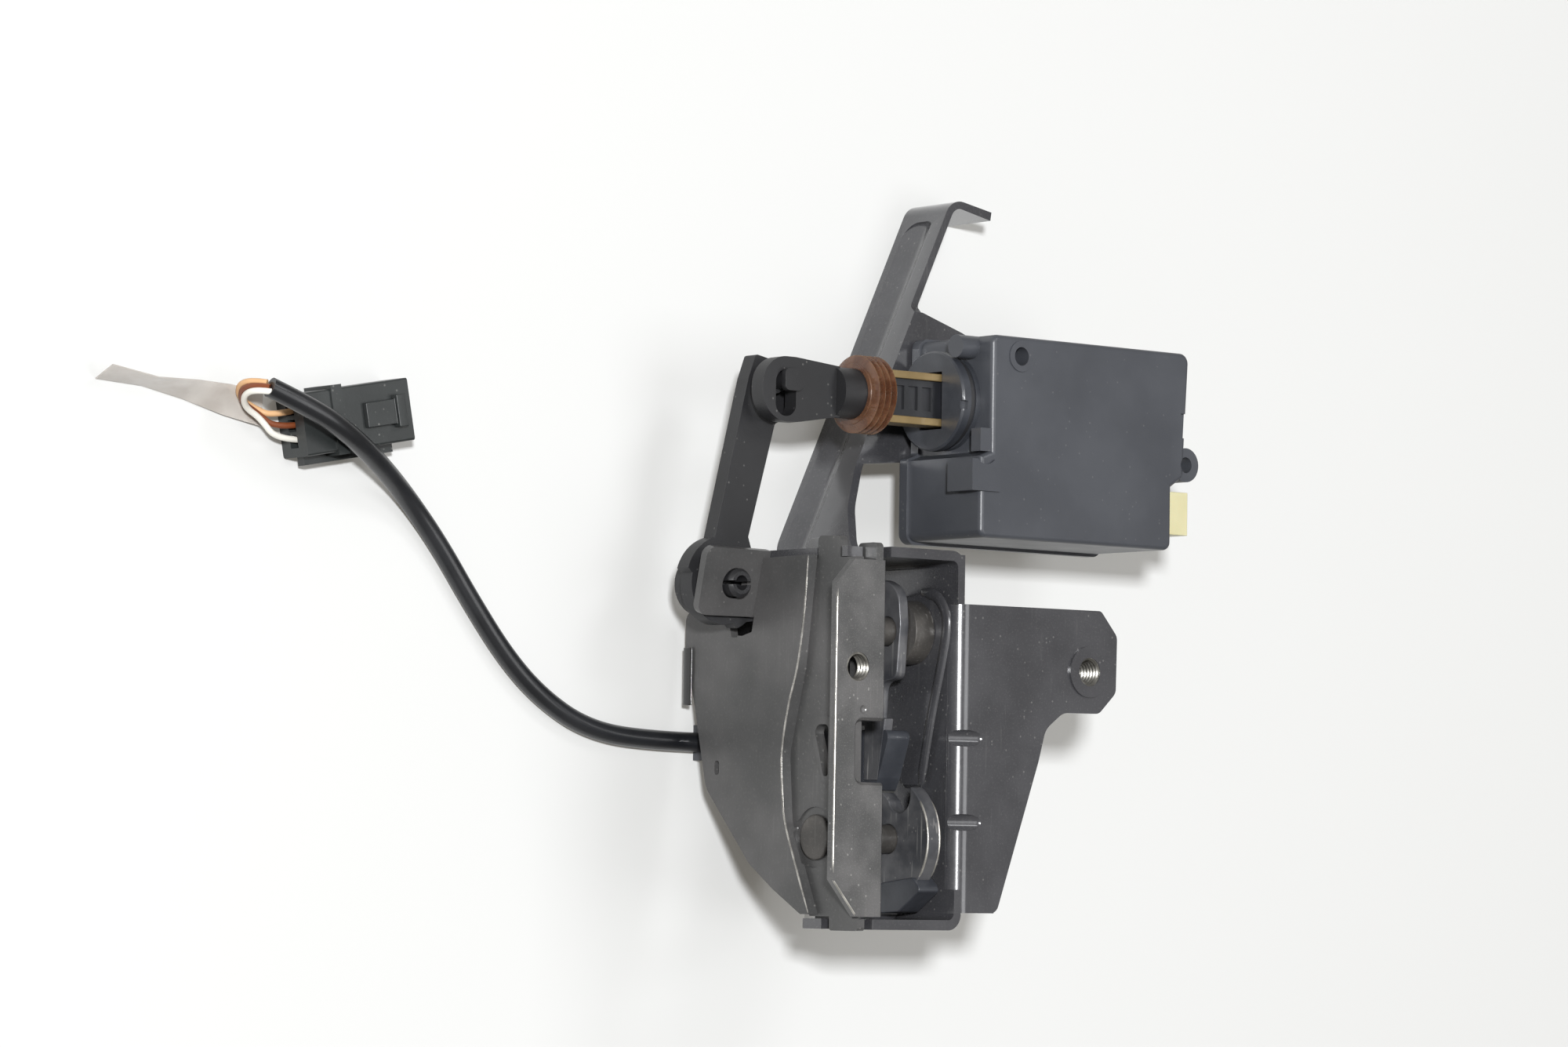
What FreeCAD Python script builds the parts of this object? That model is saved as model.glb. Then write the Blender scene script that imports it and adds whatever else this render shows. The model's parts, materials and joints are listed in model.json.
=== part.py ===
import FreeCAD, Part
import math
import os

os.makedirs("parts", exist_ok=True)

# Frame, in millimetres: the origin is the centre of the threaded hole in the front strip,
# on its front face. +Z leaves the mounting face, +Y runs up the lock, +X runs from the
# cover plate to the frame plate and on to the actuator. The lock lies on Z = FLOOR.

# Driving dimensions, sheet metal
FLOOR = -80.0
SHEET = 2.5
STRIP_T = 2.4
COVER_OUT = -1.0
FRAME_IN = 35.5
BODY_TOP = 33.2
BODY_BOTTOM = -71.2
WALL = 2.8
HOLE_R = 4.0

# Driving dimensions, latch
CATCH_PIVOT = (-46.3, -19.2)
PAWL_PIVOT = (11.0, -17.0)
ROCKER_PIVOT = (3.0, -44.0)
CATCH_R = 17.2
CATCH_X0 = 27.4
CATCH_T = 4.6
PIN_R = 4.0
RUN = 0.06
SEAT = 0.3

# Driving dimensions, outer lever and actuator
LEVER_PIVOT = (-9.2, 23.7)
LEVER_PIN = (4.9, 81.1)
LUG_FACE = -45.0
LEVER_FACE = -47.8
LEVER_T = 5.0
AXIS_Y = 79.0
AXIS_Z = -41.0
STROKE = 18.0
LEVER_SWING = 17.5
CATCH_SWING = 40.0
PAWL_SWING = 14.0
ROCKER_SWING = 28.0
CASE_FRONT = -22.0
CASE_SPLIT = -53.3
CASE_REAR = -57.5
CASE_WALL = 2.2
PINION_AT = (92.0, 67.5)
PINION_R = 6.0
WHEEL_TEETH = 40
ROTOR_TEETH = 12
WHEEL_MODULE = 0.8
RACK_MODULE = 1.0
ROTOR_ANGLE = -30.0

# Driving dimensions, harness
CABLE_D = 5.6
WIRE_D = 1.7
PLUG_AT = (-119.0, 64.0)
PLUG_SIZE = (35.0, 17.0, 12.0)
PLUG_TURN = 11.0

CASE_SCREWS = [(77.0, 91.8), (131.0, 46.5), (69.5, 46.5)]
BRACKET_SCREWS = [(104.0, 82.0), (76.0, 68.0)]

# Worked out from the driving dimensions
COVER_STEP = COVER_OUT + SHEET
COVER_IN = COVER_STEP + SHEET
FRAME_OUT = FRAME_IN + SHEET
CATCH_X1 = CATCH_X0 + CATCH_T
CABLE_Z = FLOOR + CABLE_D / 2 + 0.1
X_AXIS = FreeCAD.Vector(1, 0, 0)
Y_AXIS = FreeCAD.Vector(0, 1, 0)
Z_AXIS = FreeCAD.Vector(0, 0, 1)


def vec(x, y, z):
    return FreeCAD.Vector(x, y, z)


def box(x0, x1, y0, y1, z0, z1):
    return Part.makeBox(x1 - x0, y1 - y0, z1 - z0, vec(x0, y0, z0))


def rod_x(y, z, r, x0, x1):
    return Part.makeCylinder(r, x1 - x0, vec(x0, y, z), X_AXIS)


def rod_y(x, z, r, y0, y1):
    return Part.makeCylinder(r, y1 - y0, vec(x, y0, z), Y_AXIS)


def rod_z(x, y, r, z0, z1):
    return Part.makeCylinder(r, z1 - z0, vec(x, y, z0), Z_AXIS)


def ring_x(y, z, r_in, r_out, x0, x1):
    return rod_x(y, z, r_out, x0, x1).cut(rod_x(y, z, r_in, x0 - 1, x1 + 1))


def ring_z(x, y, r_in, r_out, z0, z1):
    return rod_z(x, y, r_out, z0, z1).cut(rod_z(x, y, r_in, z0 - 1, z1 + 1))


def rounded_face(points, place):
    """Flat face inside an outline; a point (a, b, r) has its corner rounded by r."""
    count = len(points)
    starts, mids, ends = [], [], []
    for i in range(count):
        a, b = points[i][0], points[i][1]
        radius = points[i][2] if len(points[i]) > 2 else 0.0
        here = vec(a, b, 0)
        back = vec(points[i - 1][0], points[i - 1][1], 0).sub(here)
        ahead = vec(points[(i + 1) % count][0], points[(i + 1) % count][1], 0).sub(here)
        back.normalize()
        ahead.normalize()
        if radius == 0.0:
            starts.append(here)
            mids.append(None)
            ends.append(here)
            continue
        half = back.getAngle(ahead) / 2
        reach = radius / math.tan(half)
        bisector = back.add(ahead)
        bisector.normalize()
        starts.append(here.add(back * reach))
        mids.append(here.add(bisector * (radius / math.sin(half) - radius)))
        ends.append(here.add(ahead * reach))
    edges = []
    for i in range(count):
        if mids[i] is not None:
            arc = Part.Arc(place(starts[i]), place(mids[i]), place(ends[i]))
            edges.append(arc.toShape())
        leave, arrive = ends[i], starts[(i + 1) % count]
        if leave.distanceToPoint(arrive) > 1e-6:
            edges.append(Part.makeLine(place(leave), place(arrive)))
    return Part.Face(Part.Wire(edges))


def slab_x(points, x0, x1):
    """Outline of (z, y) points, extruded along X."""
    face = rounded_face(points, lambda p: vec(x0, p.y, p.x))
    return face.extrude(vec(x1 - x0, 0, 0))


def slab_y(points, y0, y1):
    """Outline of (x, z) points, extruded along Y."""
    face = rounded_face(points, lambda p: vec(p.x, y0, p.y))
    return face.extrude(vec(0, y1 - y0, 0))


def slab_z(points, z0, z1):
    """Outline of (x, y) points, extruded along Z."""
    face = rounded_face(points, lambda p: vec(p.x, p.y, z0))
    return face.extrude(vec(0, 0, z1 - z0))


def gear(teeth, module, x, y, z0, z1, first, slack):
    """Spur gear with straight-sided teeth close to an involute, one tooth centred at first."""
    pitch_r = teeth * module / 2
    base_r = pitch_r * math.cos(math.radians(20))
    tip_r = pitch_r + 0.9 * module
    root_r = pitch_r - 1.25 * module
    half_pitch = (math.pi * module / 2 - slack) / 2 / pitch_r

    def half_at(radius):
        if radius <= base_r:
            return half_pitch + 0.0149
        turn = math.acos(base_r / radius)
        return half_pitch + 0.0149 - (math.tan(turn) - turn)

    points = []
    for i in range(teeth):
        middle = math.radians(first) + 2 * math.pi * i / teeth
        for side, radius in ((-1, root_r), (-1, pitch_r), (-1, tip_r), (1, tip_r), (1, pitch_r), (1, root_r)):
            angle = middle + side * half_at(radius)
            points.append((x + radius * math.cos(angle), y + radius * math.sin(angle)))
    return slab_z(points, z0, z1)


def routed_tube(points, diameter, name):
    """Tube along straight runs joined by tangent arcs; prints its radii and volume."""
    corners = [vec(*p) for p in points]
    edges = []
    radii = []
    length = 0.0
    last = corners[0]
    for i in range(1, len(corners) - 1):
        back = corners[i - 1].sub(corners[i])
        ahead = corners[i + 1].sub(corners[i])
        shorter = min(back.Length, ahead.Length)
        back.normalize()
        ahead.normalize()
        half_turn = (math.pi - back.getAngle(ahead)) / 2
        reach = 0.45 * shorter
        radius = reach / math.tan(half_turn)
        bisector = back.add(ahead)
        bisector.normalize()
        enter = corners[i].add(back * reach)
        leave = corners[i].add(ahead * reach)
        middle = corners[i].add(bisector * (radius / math.cos(half_turn) - radius))
        edges.append(Part.LineSegment(last, enter).toShape())
        edges.append(Part.Arc(enter, middle, leave).toShape())
        length += last.distanceToPoint(enter) + radius * 2 * half_turn
        radii.append(round(radius, 1))
        last = leave
    edges.append(Part.LineSegment(last, corners[-1]).toShape())
    length += last.distanceToPoint(corners[-1])
    first = corners[1].sub(corners[0])
    profile = Part.Wire([Part.makeCircle(diameter / 2, corners[0], first)])
    tube = Part.Wire(edges).makePipeShell([profile], True, True)
    expected = math.pi * diameter ** 2 / 4 * length
    print(name, "length", round(length, 1), "radii", radii, "volume ratio", round(tube.Volume / expected, 4))
    return tube


COIL_SIDES = 8


def coil_x(y, z, r, wire_r, x0, pitch, turns):
    """Spring about an axis along X, as short straight runs of a helix with mitred joints."""
    points = []
    for i in range(COIL_SIDES * turns + 1):
        a = math.tau * i / COIL_SIDES
        points.append(vec(x0 + pitch * i / COIL_SIDES, y + r * math.cos(a), z + r * math.sin(a)))
    ahead = points[1].sub(points[0])
    ahead.normalize()
    out = vec(0, 1, 0).sub(ahead * ahead.y)
    out.normalize()
    side = ahead.cross(out)
    rim = []
    for i in range(6):
        a = math.tau * i / 6
        rim.append(points[0] + out * (wire_r * math.cos(a)) + side * (wire_r * math.sin(a)))
    profile = Part.makePolygon(rim + rim[:1])
    return Part.makePolygon(points).makePipeShell([profile], True, False, 1)


def save(node, shape):
    shape = shape.removeSplitter()
    shape.exportStep("parts/" + node + ".step")
    bounds = shape.BoundBox
    print(node, "valid", shape.isValid(), "solids", len(shape.Solids), "volume", round(shape.Volume, 1),
          [round(v, 1) for v in (bounds.XMin, bounds.XMax, bounds.YMin, bounds.YMax, bounds.ZMin, bounds.ZMax)])


def arm_x(y):
    """The arm's left face at a height up the lock."""
    return FRAME_IN + (y - ARM_FOOT) * math.tan(ARM_LEAN)


# Frame plate: side wall, top and bottom walls, mounting flange and raised arm in one sheet
FLANGE_TOP = 18.7
FLANGE_LOW = -66.4
ARM_FOOT = 38.0
ARM_TOP = (83.6, 141.5)
ARM_TAB = (99.0, 138.6)
ARM_FRONT = -60.6
ARM_WEB = -57.7
FOLD_R = 2.0
PAD_RISE = 1.2
DART_R = 2.3
TAB_HOLE = (84.3, 1.6)
BEAD_END = 104.0
ARM_LEAN = math.atan2(ARM_TOP[0] - FRAME_IN, ARM_TOP[1] - ARM_FOOT)


def frame_plate():
    side = slab_x([(-4, BODY_BOTTOM + 4), (-4, BODY_TOP), (-50, BODY_TOP), (-50, ARM_FOOT - 3),
                   (FLOOR, ARM_FOOT - 3), (FLOOR, -40, 6), (-58, BODY_BOTTOM + 4)], FRAME_IN, FRAME_OUT)
    front_top = box(FRAME_IN, FRAME_OUT, FLANGE_TOP, BODY_TOP - 1, -6, 0)
    front_low = box(FRAME_IN, FRAME_OUT, BODY_BOTTOM + 4, FLANGE_LOW, -6, 0)
    fold = slab_y([(FRAME_IN, -8), (FRAME_IN, 0, FOLD_R + SHEET), (FRAME_OUT + 12, 0),
                   (FRAME_OUT + 12, -SHEET), (FRAME_OUT, -SHEET, FOLD_R), (FRAME_OUT, -8)],
                  FLANGE_LOW, FLANGE_TOP)
    flange = slab_z([(FRAME_OUT + 4, FLANGE_TOP), (89.0, FLANGE_TOP + 0.3, 2), (95.2, 12, 3), (94.9, -4, 3),
                     (88.6, -10, 3), (75, -10.2, 5), (68.5, -15, 6), (66, -24, 10), (51, -66.4, 3),
                     (FRAME_OUT + 4, FLANGE_LOW)], -SHEET, 0)
    top_wall = slab_z([(FRAME_OUT, BODY_TOP, 4.5), (COVER_STEP, BODY_TOP), (COVER_STEP, BODY_TOP - WALL),
                       (FRAME_IN, BODY_TOP - WALL, 2), (FRAME_IN, 20), (FRAME_OUT, 20)], -56, 0)
    low_wall = slab_z([(FRAME_OUT, BODY_BOTTOM, 4.5), (FRAME_OUT, -60), (FRAME_IN, -60),
                       (FRAME_IN, BODY_BOTTOM + WALL, 2), (COVER_STEP, BODY_BOTTOM + WALL),
                       (COVER_STEP, BODY_BOTTOM)], -24, 0)
    section = slab_z([(FRAME_IN, 25), (FRAME_IN, ARM_FOOT, 8), (ARM_TOP[0], ARM_TOP[1], 6), ARM_TAB,
                      (ARM_TAB[0] - 0.4, ARM_TAB[1] - SHEET), (ARM_TOP[0] + 1.3, ARM_TOP[1] - SHEET, 3.5),
                      (FRAME_OUT, ARM_FOOT - 0.6, 5.5), (FRAME_OUT, 25)], FLOOR, -40)
    outline = slab_x([(FLOOR, 25), (FLOOR, 150), (ARM_FRONT, 150), (ARM_FRONT, 108.5, 2), (ARM_WEB, 106.5),
                      (ARM_WEB, 60, 12), (-54, 48, 14), (-46, 36), (-46, 25)], 20, 120)
    arm = section.common(outline)
    bead_rear, bead_front = FLOOR + 2.8, ARM_FRONT - 4.4
    bead = slab_x([(bead_front, -6, 2), (bead_rear, -6, 4), (bead_rear, BEAD_END, 5.5), (bead_front, BEAD_END, 3)], -1, 5)
    valley = slab_y([(-0.4, bead_front + 0.5), (1.3, bead_front - 3.4), (1.3, bead_front - 5.2), (0, bead_rear),
                     (-0.4, bead_rear)], -8, BEAD_END + 2)
    groove = bead.common(valley)
    back = bead.common(box(-1, SHEET + 1.1, -20, BEAD_END + 2, bead_rear - 1, bead_front + 1))
    back = back.cut(box(-2, SHEET - 0.5, -30, BEAD_END + 5, bead_rear - 2, bead_front + 2))
    for shape in (groove, back):
        shape.translate(vec(FRAME_IN, ARM_FOOT + 3, 0))
        shape.rotate(vec(FRAME_IN, ARM_FOOT, 0), Z_AXIS, -math.degrees(ARM_LEAN))
    gusset = slab_z([(arm_x(107) + 1.4, 107, 2), (85.6, 101.8, 6), (100, 96, 4), (112, 90, 5), (112, 54, 5), (84, 60, 8),
                     (66.5, 62.8, 4), (arm_x(61.2) + 2.1, 61.2)], ARM_WEB - SHEET, ARM_WEB)
    arm = arm.cut(groove).fuse(back)
    plate = side.fuse([front_top, front_low, fold, flange, top_wall, low_wall, arm, gusset])
    for y in (-18.3, -41.5):
        fin = slab_y([(FRAME_OUT - 1, -SHEET + 1), (FRAME_OUT + 6.5, -SHEET + 1), (FRAME_OUT + 6.5, -SHEET),
                      (FRAME_OUT, -9), (FRAME_OUT - 1, -9)], y - 1.6, y + 1.6)
        start, end = vec(FRAME_IN - 0.4, y, -1.2), vec(FRAME_IN + 6.6, y, 1.2)
        dart = Part.makeCylinder(DART_R, 10, start - (end - start) * 0.2, end - start)
        tip = Part.makeSphere(DART_R, start - (end - start) * 0.2 + (end - start).normalize() * 10)
        plate = plate.fuse(fin).cut(dart.fuse(tip))
    boss = rod_z(TAB_HOLE[0], TAB_HOLE[1], 7.2, -SHEET, 0.7).fuse(rod_z(TAB_HOLE[0], TAB_HOLE[1], 6.2, -9, -SHEET))
    plate = plate.fuse(boss).cut(rod_z(TAB_HOLE[0], TAB_HOLE[1], HOLE_R, -12, 3))
    pad = slab_x([(-13.3, -32, 2), (-11.5, -23), (-8.4, -10), (-5.3, 1), (-2.9, 11, 8), (-5, 20.9, 6), (-14.4, 22.6, 6),
                  (-30, 20, 8), (-36, 8, 10), (-34, -10, 10), (-22, -32, 3)], FRAME_IN - PAD_RISE, FRAME_IN + 0.5)
    pad = pad.makeChamfer(0.9, [e for e in pad.Edges if e.BoundBox.XMax < FRAME_IN - PAD_RISE + 0.01])
    plate = plate.fuse(pad)
    for pivot, radius in ((CATCH_PIVOT, PIN_R), (PAWL_PIVOT, PIN_R), (ROCKER_PIVOT, 2.5)):
        plate = plate.cut(rod_x(pivot[0], pivot[1], radius, FRAME_IN - 3, FRAME_OUT + 1))
    plate = plate.cut(rod_z(CASE_SCREWS[0][0], CASE_SCREWS[0][1], 4.0, ARM_WEB - 5, ARM_WEB + 1))
    for x, y in BRACKET_SCREWS:
        plate = plate.cut(rod_z(x, y, 2.2, ARM_WEB - 5, ARM_WEB + 1))
    plate = plate.cut(box(6.9, 11.3, 25, 40, -10.2, 1))
    plate = plate.cut(box(-5, 7, 25, 40, -7, 1))
    plate = plate.cut(box(COVER_OUT - 1, COVER_IN + 0.3, 25, 40, -20, -9.3))
    plate = plate.cut(box(-5, 16, 25, 40, -57, -46.8))
    plate = plate.cut(box(-5, 6.2, -80, -60, -8, 1))
    plate = plate.cut(box(COVER_OUT - 1, COVER_IN + 0.3, -80, -60, -16, 1))
    return plate


BLIND = 0.7


# Cover plate: two levels with a joggle between them, a bent lug and two tabs
def cover_plate():
    step = [(-18.5, -67.3), (-30, -42.5, 14), (-31.5, -23.1, 14), (-25, 0.6, 20), (-20.9, 31.3)]
    rear = slab_x([(-47.5, 31.3), (-47.5, 14.5), (-36.2, 14.5, 1), (-36.2, 9.8, 1), (-47.6, 9.8), (-47.6, 5.4, 1),
                   (-54.6, 5.4, 1),                   (-54.6, 17, 1), (-75, 17.2, 3), (-75, 7, 3), (-70.5, -9.5, 8), (-64.8, -32.7, 8),
                   (-45, -53.6, 3), (-34.5, -60.5, 3), (-22.2, -67.3)] + step, COVER_OUT, COVER_STEP)
    faces = []
    for x, shift in ((COVER_OUT, 0.0), (COVER_STEP, 2.2)):
        near = [(p[0] + shift,) + tuple(p[1:]) for p in step]
        outline = near + [(-26, 31.3), (-36, 0), (-36, -44), (-22, -67.3)]
        faces.append(rounded_face(outline, lambda p: vec(x, p.y, p.x)).OuterWire)
    ramp = Part.makeLoft(faces, True, True)
    rear = rear.fuse(ramp)
    front = slab_x([(-3, 30.2), (-28, 30.2), (-32, 0), (-38, -24), (-36, -44), (-24, -65), (-21, -67.8),
                    (-3, -67.8)], COVER_STEP, COVER_IN)
    joint = slab_x([(-10, 30.2), (-19.6, 30.2), (-19.6, 36.5, 1.5), (-10, 36.2, 1.5)], COVER_STEP, COVER_IN)
    foot = slab_x([(-12.7, -66), (-12.7, -71.6, 1), (-0.6, -71.6, 1), (-0.6, -68.4), (-3, -68.4),
                   (-3, -66)], COVER_STEP, COVER_IN)
    lug = slab_z([(COVER_STEP, 14.5), (COVER_STEP, 33.4), (-20.8, 33.6, 3), (-20.4, 14.3, 3)],
                 LUG_FACE - SHEET, LUG_FACE)
    rim = slab_x([(-21.6, -13.2, 3.2), (-11.5, -13.2, 2.5), (-11.5, -31.7, 1.5), (-15.6, -31.7, 2), (-19.6, -22, 4)],
                 COVER_STEP - 0.6, COVER_STEP + 0.5)
    plate = rear.fuse([front, joint, foot, lug, rim])
    plate = plate.cut(slab_x([(-19.9, -15.4, 2.2), (-13.4, -15.4, 1.5), (-13.4, -29.6, 0.8), (-15.4, -29.6, 0.9),
                              (-17.6, -22, 3)], COVER_STEP - 3, COVER_IN + 2))
    plate = plate.cut(slab_x([(-61, -25, 0.9), (-59, -25, 0.9), (-59, -29, 0.9), (-61, -29, 0.9)],
                             COVER_OUT - 2, COVER_IN))
    plate = plate.cut(rod_x(CATCH_PIVOT[0], CATCH_PIVOT[1], 8.4, COVER_STEP - 1, COVER_STEP + 0.6))
    plate = plate.cut(rod_z(LEVER_PIVOT[0], LEVER_PIVOT[1], 4.35, LUG_FACE - 5, LUG_FACE + 3))
    plate = plate.cut(rod_x(CATCH_PIVOT[0], CATCH_PIVOT[1], PIN_R, COVER_OUT - 1, COVER_IN + 1))
    plate = plate.cut(rod_x(PAWL_PIVOT[0], PAWL_PIVOT[1], PIN_R, COVER_STEP + BLIND, COVER_IN + 1))
    plate = plate.cut(rod_x(ROCKER_PIVOT[0], ROCKER_PIVOT[1], 2.5, COVER_OUT + BLIND, COVER_IN + 1))
    plate = plate.cut(box(COVER_STEP - 5, COVER_IN + 1, -8, 8, -10, 1))
    return plate


# Front strip: notched plate with the threaded hole and a return flange
def front_strip():
    face = slab_z([(-7.6, 22.8), (-1.5, 29.3), (9.9, 29.3), (9.9, -14.5, 1), (0, -14.5, 2), (0, -31.3, 2),
                   (9.9, -31.3, 1), (9.9, -67.7), (0.5, -67.7), (-7.9, -57.7)], -STRIP_T, 0)
    face = face.makeChamfer(0.8, [e for e in face.Edges if e.BoundBox.XMin > 9.8 and e.BoundBox.ZMin > -0.01])
    side_x = 9.9 - SHEET
    upper = box(side_x, 9.9, -14.5, 29.3, -12.4, -1.3)
    lower = box(side_x, 9.9, -67.7, -31.3, -12.4, -1.3)
    hook = slab_x([(-9.5, 29), (-9.5, 34.3, 1.5), (-1.7, 34.3, 1.5), (-1.7, 29)], side_x, 9.9)
    nut = rod_z(0, 0, 6.3, -9, -STRIP_T + 0.5)
    strip = face.fuse([upper, lower, hook, nut])
    strip = strip.cut(rod_z(0, 0, HOLE_R, -12, 1))
    strip = strip.cut(Part.makeSphere(1.6, vec(2.0, -11.6, 1.1)))
    return strip


def rivet(pivot, radius, head_r, head_x0, head_x1):
    """Pivot pin through both plates, with its heads."""
    y, z = pivot
    pin = rod_x(y, z, radius, head_x0, FRAME_OUT + 2.2)
    left = rod_x(y, z, head_r, head_x0, head_x1)
    left = left.makeChamfer(0.5, [e for e in left.Edges if e.BoundBox.XMax < head_x0 + 0.01])
    right = rod_x(y, z, radius + 1.8, FRAME_OUT, FRAME_OUT + 2.2)
    right = right.makeChamfer(0.6, [e for e in right.Edges if e.BoundBox.XMin > FRAME_OUT + 2.1])
    return pin.fuse([left, right])


# Catch: steel hook with a pocket for the striker, and its moulded bumper
POCKET = (4.7, 11.8)
POCKET_R = 4.6


def catch_core():
    y, z = CATCH_PIVOT
    disc = rod_x(y, z, CATCH_R, CATCH_X0, CATCH_X1)
    trim = slab_x([(z - 25, y - 30), (z - 25, y + 30), (z + 0.3, y + 30), (z + 0.3, y + 10.6),
                   (z - 2.6, y + 12.9, 0.5), (z - 7.4, y + 11.6), (z - 7.4, y + 6, 2), (z - 11, y - 2, 6),
                   (z - 15, y - 16), (z - 5, y - 30)], CATCH_X0 - 1, CATCH_X1 + 1)
    pocket = rod_x(y + POCKET[1], z + POCKET[0], POCKET_R, CATCH_X0 - 1, CATCH_X1 + 1)
    way = slab_x([(z + POCKET[0] - POCKET_R, y + POCKET[1]), (z + POCKET[0] + POCKET_R, y + POCKET[1]),
                  (z + POCKET[0] + POCKET_R, y + 30), (z + POCKET[0] - POCKET_R, y + 30)],
                 CATCH_X0 - 1, CATCH_X1 + 1)
    core = disc.cut(trim).cut(pocket).cut(way)
    core = core.cut(rod_x(y, z, PIN_R + RUN, CATCH_X0 - 1, CATCH_X1 + 1))
    return core


def catch_bumper():
    y, z = CATCH_PIVOT
    skin = slab_x([(z + 15.2, y - 12.7), (z + 15.9, y - 14.2, 1), (z + 6.8, y - 20.1, 3), (z - 2, y - 20.6, 3),
                   (z - 9, y - 19, 2), (z - 9, y - 14), (z, y - 12), (z + 12.5, y - 10.5)],
                  CATCH_X0 - 1.6, CATCH_X1 + 1.0)
    hollow = rod_x(y, z, CATCH_R + 0.02, CATCH_X0 - 0.02, CATCH_X1 + 0.02)
    return skin.cut(hollow)


# Pawl: steel lever with a moulded tip, resting on the catch shoulder
TIP_LOW = -33.1
PAWL_SHANK = [(PAWL_PIVOT[1] - 9, PAWL_PIVOT[0] - 24), (PAWL_PIVOT[1] - 9, TIP_LOW + 3),
              (PAWL_PIVOT[1] - 3, TIP_LOW + 3), (PAWL_PIVOT[1], PAWL_PIVOT[0] - 24)]


def pawl_core():
    y, z = PAWL_PIVOT
    plate = slab_x([(z - 2, y + 14.8, 8), (z - 14, y + 12, 6), (z - 21, y + 3, 3), (z - 21, y - 2.4, 1.5),
                    (z - 10, y - 7, 6), (z - 11, y - 26), (z - 3, y - 27), (z - 2, y - 14, 3), (z + 4.6, y - 13, 2.5),
                    (z + 6, y + 2, 9), (z + 5, y + 11.5, 7)], CATCH_X0 - 3.3, CATCH_X0)
    shank = slab_x(PAWL_SHANK, CATCH_X0 - 3.3, CATCH_X0)
    core = plate.fuse(shank)
    core = core.cut(rod_x(y, z, PIN_R + RUN, CATCH_X0 - 5, CATCH_X0 + 1))
    return core


def pawl_tip():
    y, z = PAWL_PIVOT
    block = slab_x([(z - 10.6, y - 27.2), (z - 10.6, TIP_LOW + 1.9, 1), (z - 4.6, TIP_LOW, 0.8),
                    (z - 2.6, y - 40.5, 3), (z + 2.2, y - 27.2, 2)], CATCH_X0 - 3.3, CATCH_X1)
    socket = slab_x(PAWL_SHANK, CATCH_X0 - 4, CATCH_X0)
    return block.cut(socket)


SPACER_R = 8.9


def pawl_spacer():
    y, z = PAWL_PIVOT
    return ring_x(y, z, PIN_R + RUN, SPACER_R, CATCH_X0 + 0.1, FRAME_IN - PAD_RISE - 0.1)


# Release rocker between the outer lever and the pawl
ROCKER_PAD_REAR = (9.2, -52.0)


def rocker():
    y, z = ROCKER_PIVOT
    sleeve = rod_x(y, z, 4.2, COVER_IN + 0.3, FRAME_IN - 0.3)
    rear = slab_x([(z + 3, y - 3), (z - 3, y - 3), (z - 10, y + 4.0, 2), (z - 10, y + 6.6, 1.2), (z - 5, y + 6.6, 1),
                   (z + 3, y + 3)], COVER_IN + 0.3, COVER_IN + 3.6)
    ahead = slab_x([(z - 3, y - 3), (z + 3, y - 4), (z + 9.6, y + 1.5, 2), (z + 9.6, y + 4.4, 1.4), (z + 6, y + 4.4, 1),
                    (z - 3, y + 3.5)], CATCH_X0 - 3.4, CATCH_X0 - 0.1)
    return sleeve.fuse([rear, ahead]).cut(rod_x(y, z, 2.5 + RUN, 0, 40))


# Outer lever: moulded bell crank on the cover plate's lug
HEAD_R = 13.2


def outer_lever():
    px, py = LEVER_PIVOT
    back = LEVER_FACE - LEVER_T
    head = rod_z(px, py, HEAD_R, back, LEVER_FACE)
    arm = slab_z([(px - 10.5, py + 4), (-12.7, 36.2), (-1.6, 81.5, 1), (1.0, 88.6, 1), (12.0, 86.4, 4), (12.2, 71.4, 2), (8.2, 69.4, 1),
                  (-0.7, 37.2), (px + 12.2, py + 3)], back, LEVER_FACE)
    finger = slab_z([(px + 6, py - 9.5), (4.6, py - 12.6, 0.8), (7.4, py - 12.2, 0.8), (7.4, py - 9.0, 1),
                     (px + 11.5, py - 5)], back + 0.6, LEVER_FACE - 0.6)
    collar = ring_z(px, py, 6.2, 8.6, back - 1.5, back + 0.5)
    post = rod_z(px, py, 4.35 - RUN, back, LUG_FACE + 0.3)
    barb = rod_z(px, py, 4.7, LUG_FACE + 0.3, LUG_FACE + 1.9)
    barb = barb.makeChamfer(1.0, [e for e in barb.Edges if e.BoundBox.ZMin > LUG_FACE + 1.8])
    slit = box(px - 6, px + 6, py - 0.6, py + 0.6, LEVER_FACE - 1, LUG_FACE + 3)
    post = post.fuse(barb).cut(slit).cut(rod_z(px, py, 2.4, LEVER_FACE - 1, LUG_FACE + 3))
    rise = rod_z(LEVER_PIN[0], LEVER_PIN[1], 3.6, LEVER_FACE - 0.5, AXIS_Z - 2.5 - 0.3)
    pin = rod_z(LEVER_PIN[0], LEVER_PIN[1], 2.3, LEVER_FACE - 0.5, AXIS_Z + 2.5 + 0.3)
    hook = slab_z([(LEVER_PIN[0] - 2.4, LEVER_PIN[1] - 3.2, 1.5), (LEVER_PIN[0] + 4.4, LEVER_PIN[1] - 3.2, 2.4),
                   (LEVER_PIN[0] + 4.4, LEVER_PIN[1] + 3.0, 2.4), (LEVER_PIN[0] - 2.4, LEVER_PIN[1] + 3.0, 1.5)],
                  AXIS_Z + 2.5 + 0.3, AXIS_Z + 2.5 + 2.3)
    lever = head.fuse([arm, finger, collar, post, rise, pin, hook])
    for i in range(3):
        y = 42 + 12 * i
        x = -6.4 + 0.262 * (y - 37.2)
        pocket = slab_z([(x - 3.4, y, 1), (x + 3.6, y, 1), (x + 6.2, y + 9.5, 1), (x - 0.8, y + 9.5, 1)],
                        back - 1, back + 2.6)
        lever = lever.cut(pocket)
    return lever


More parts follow.
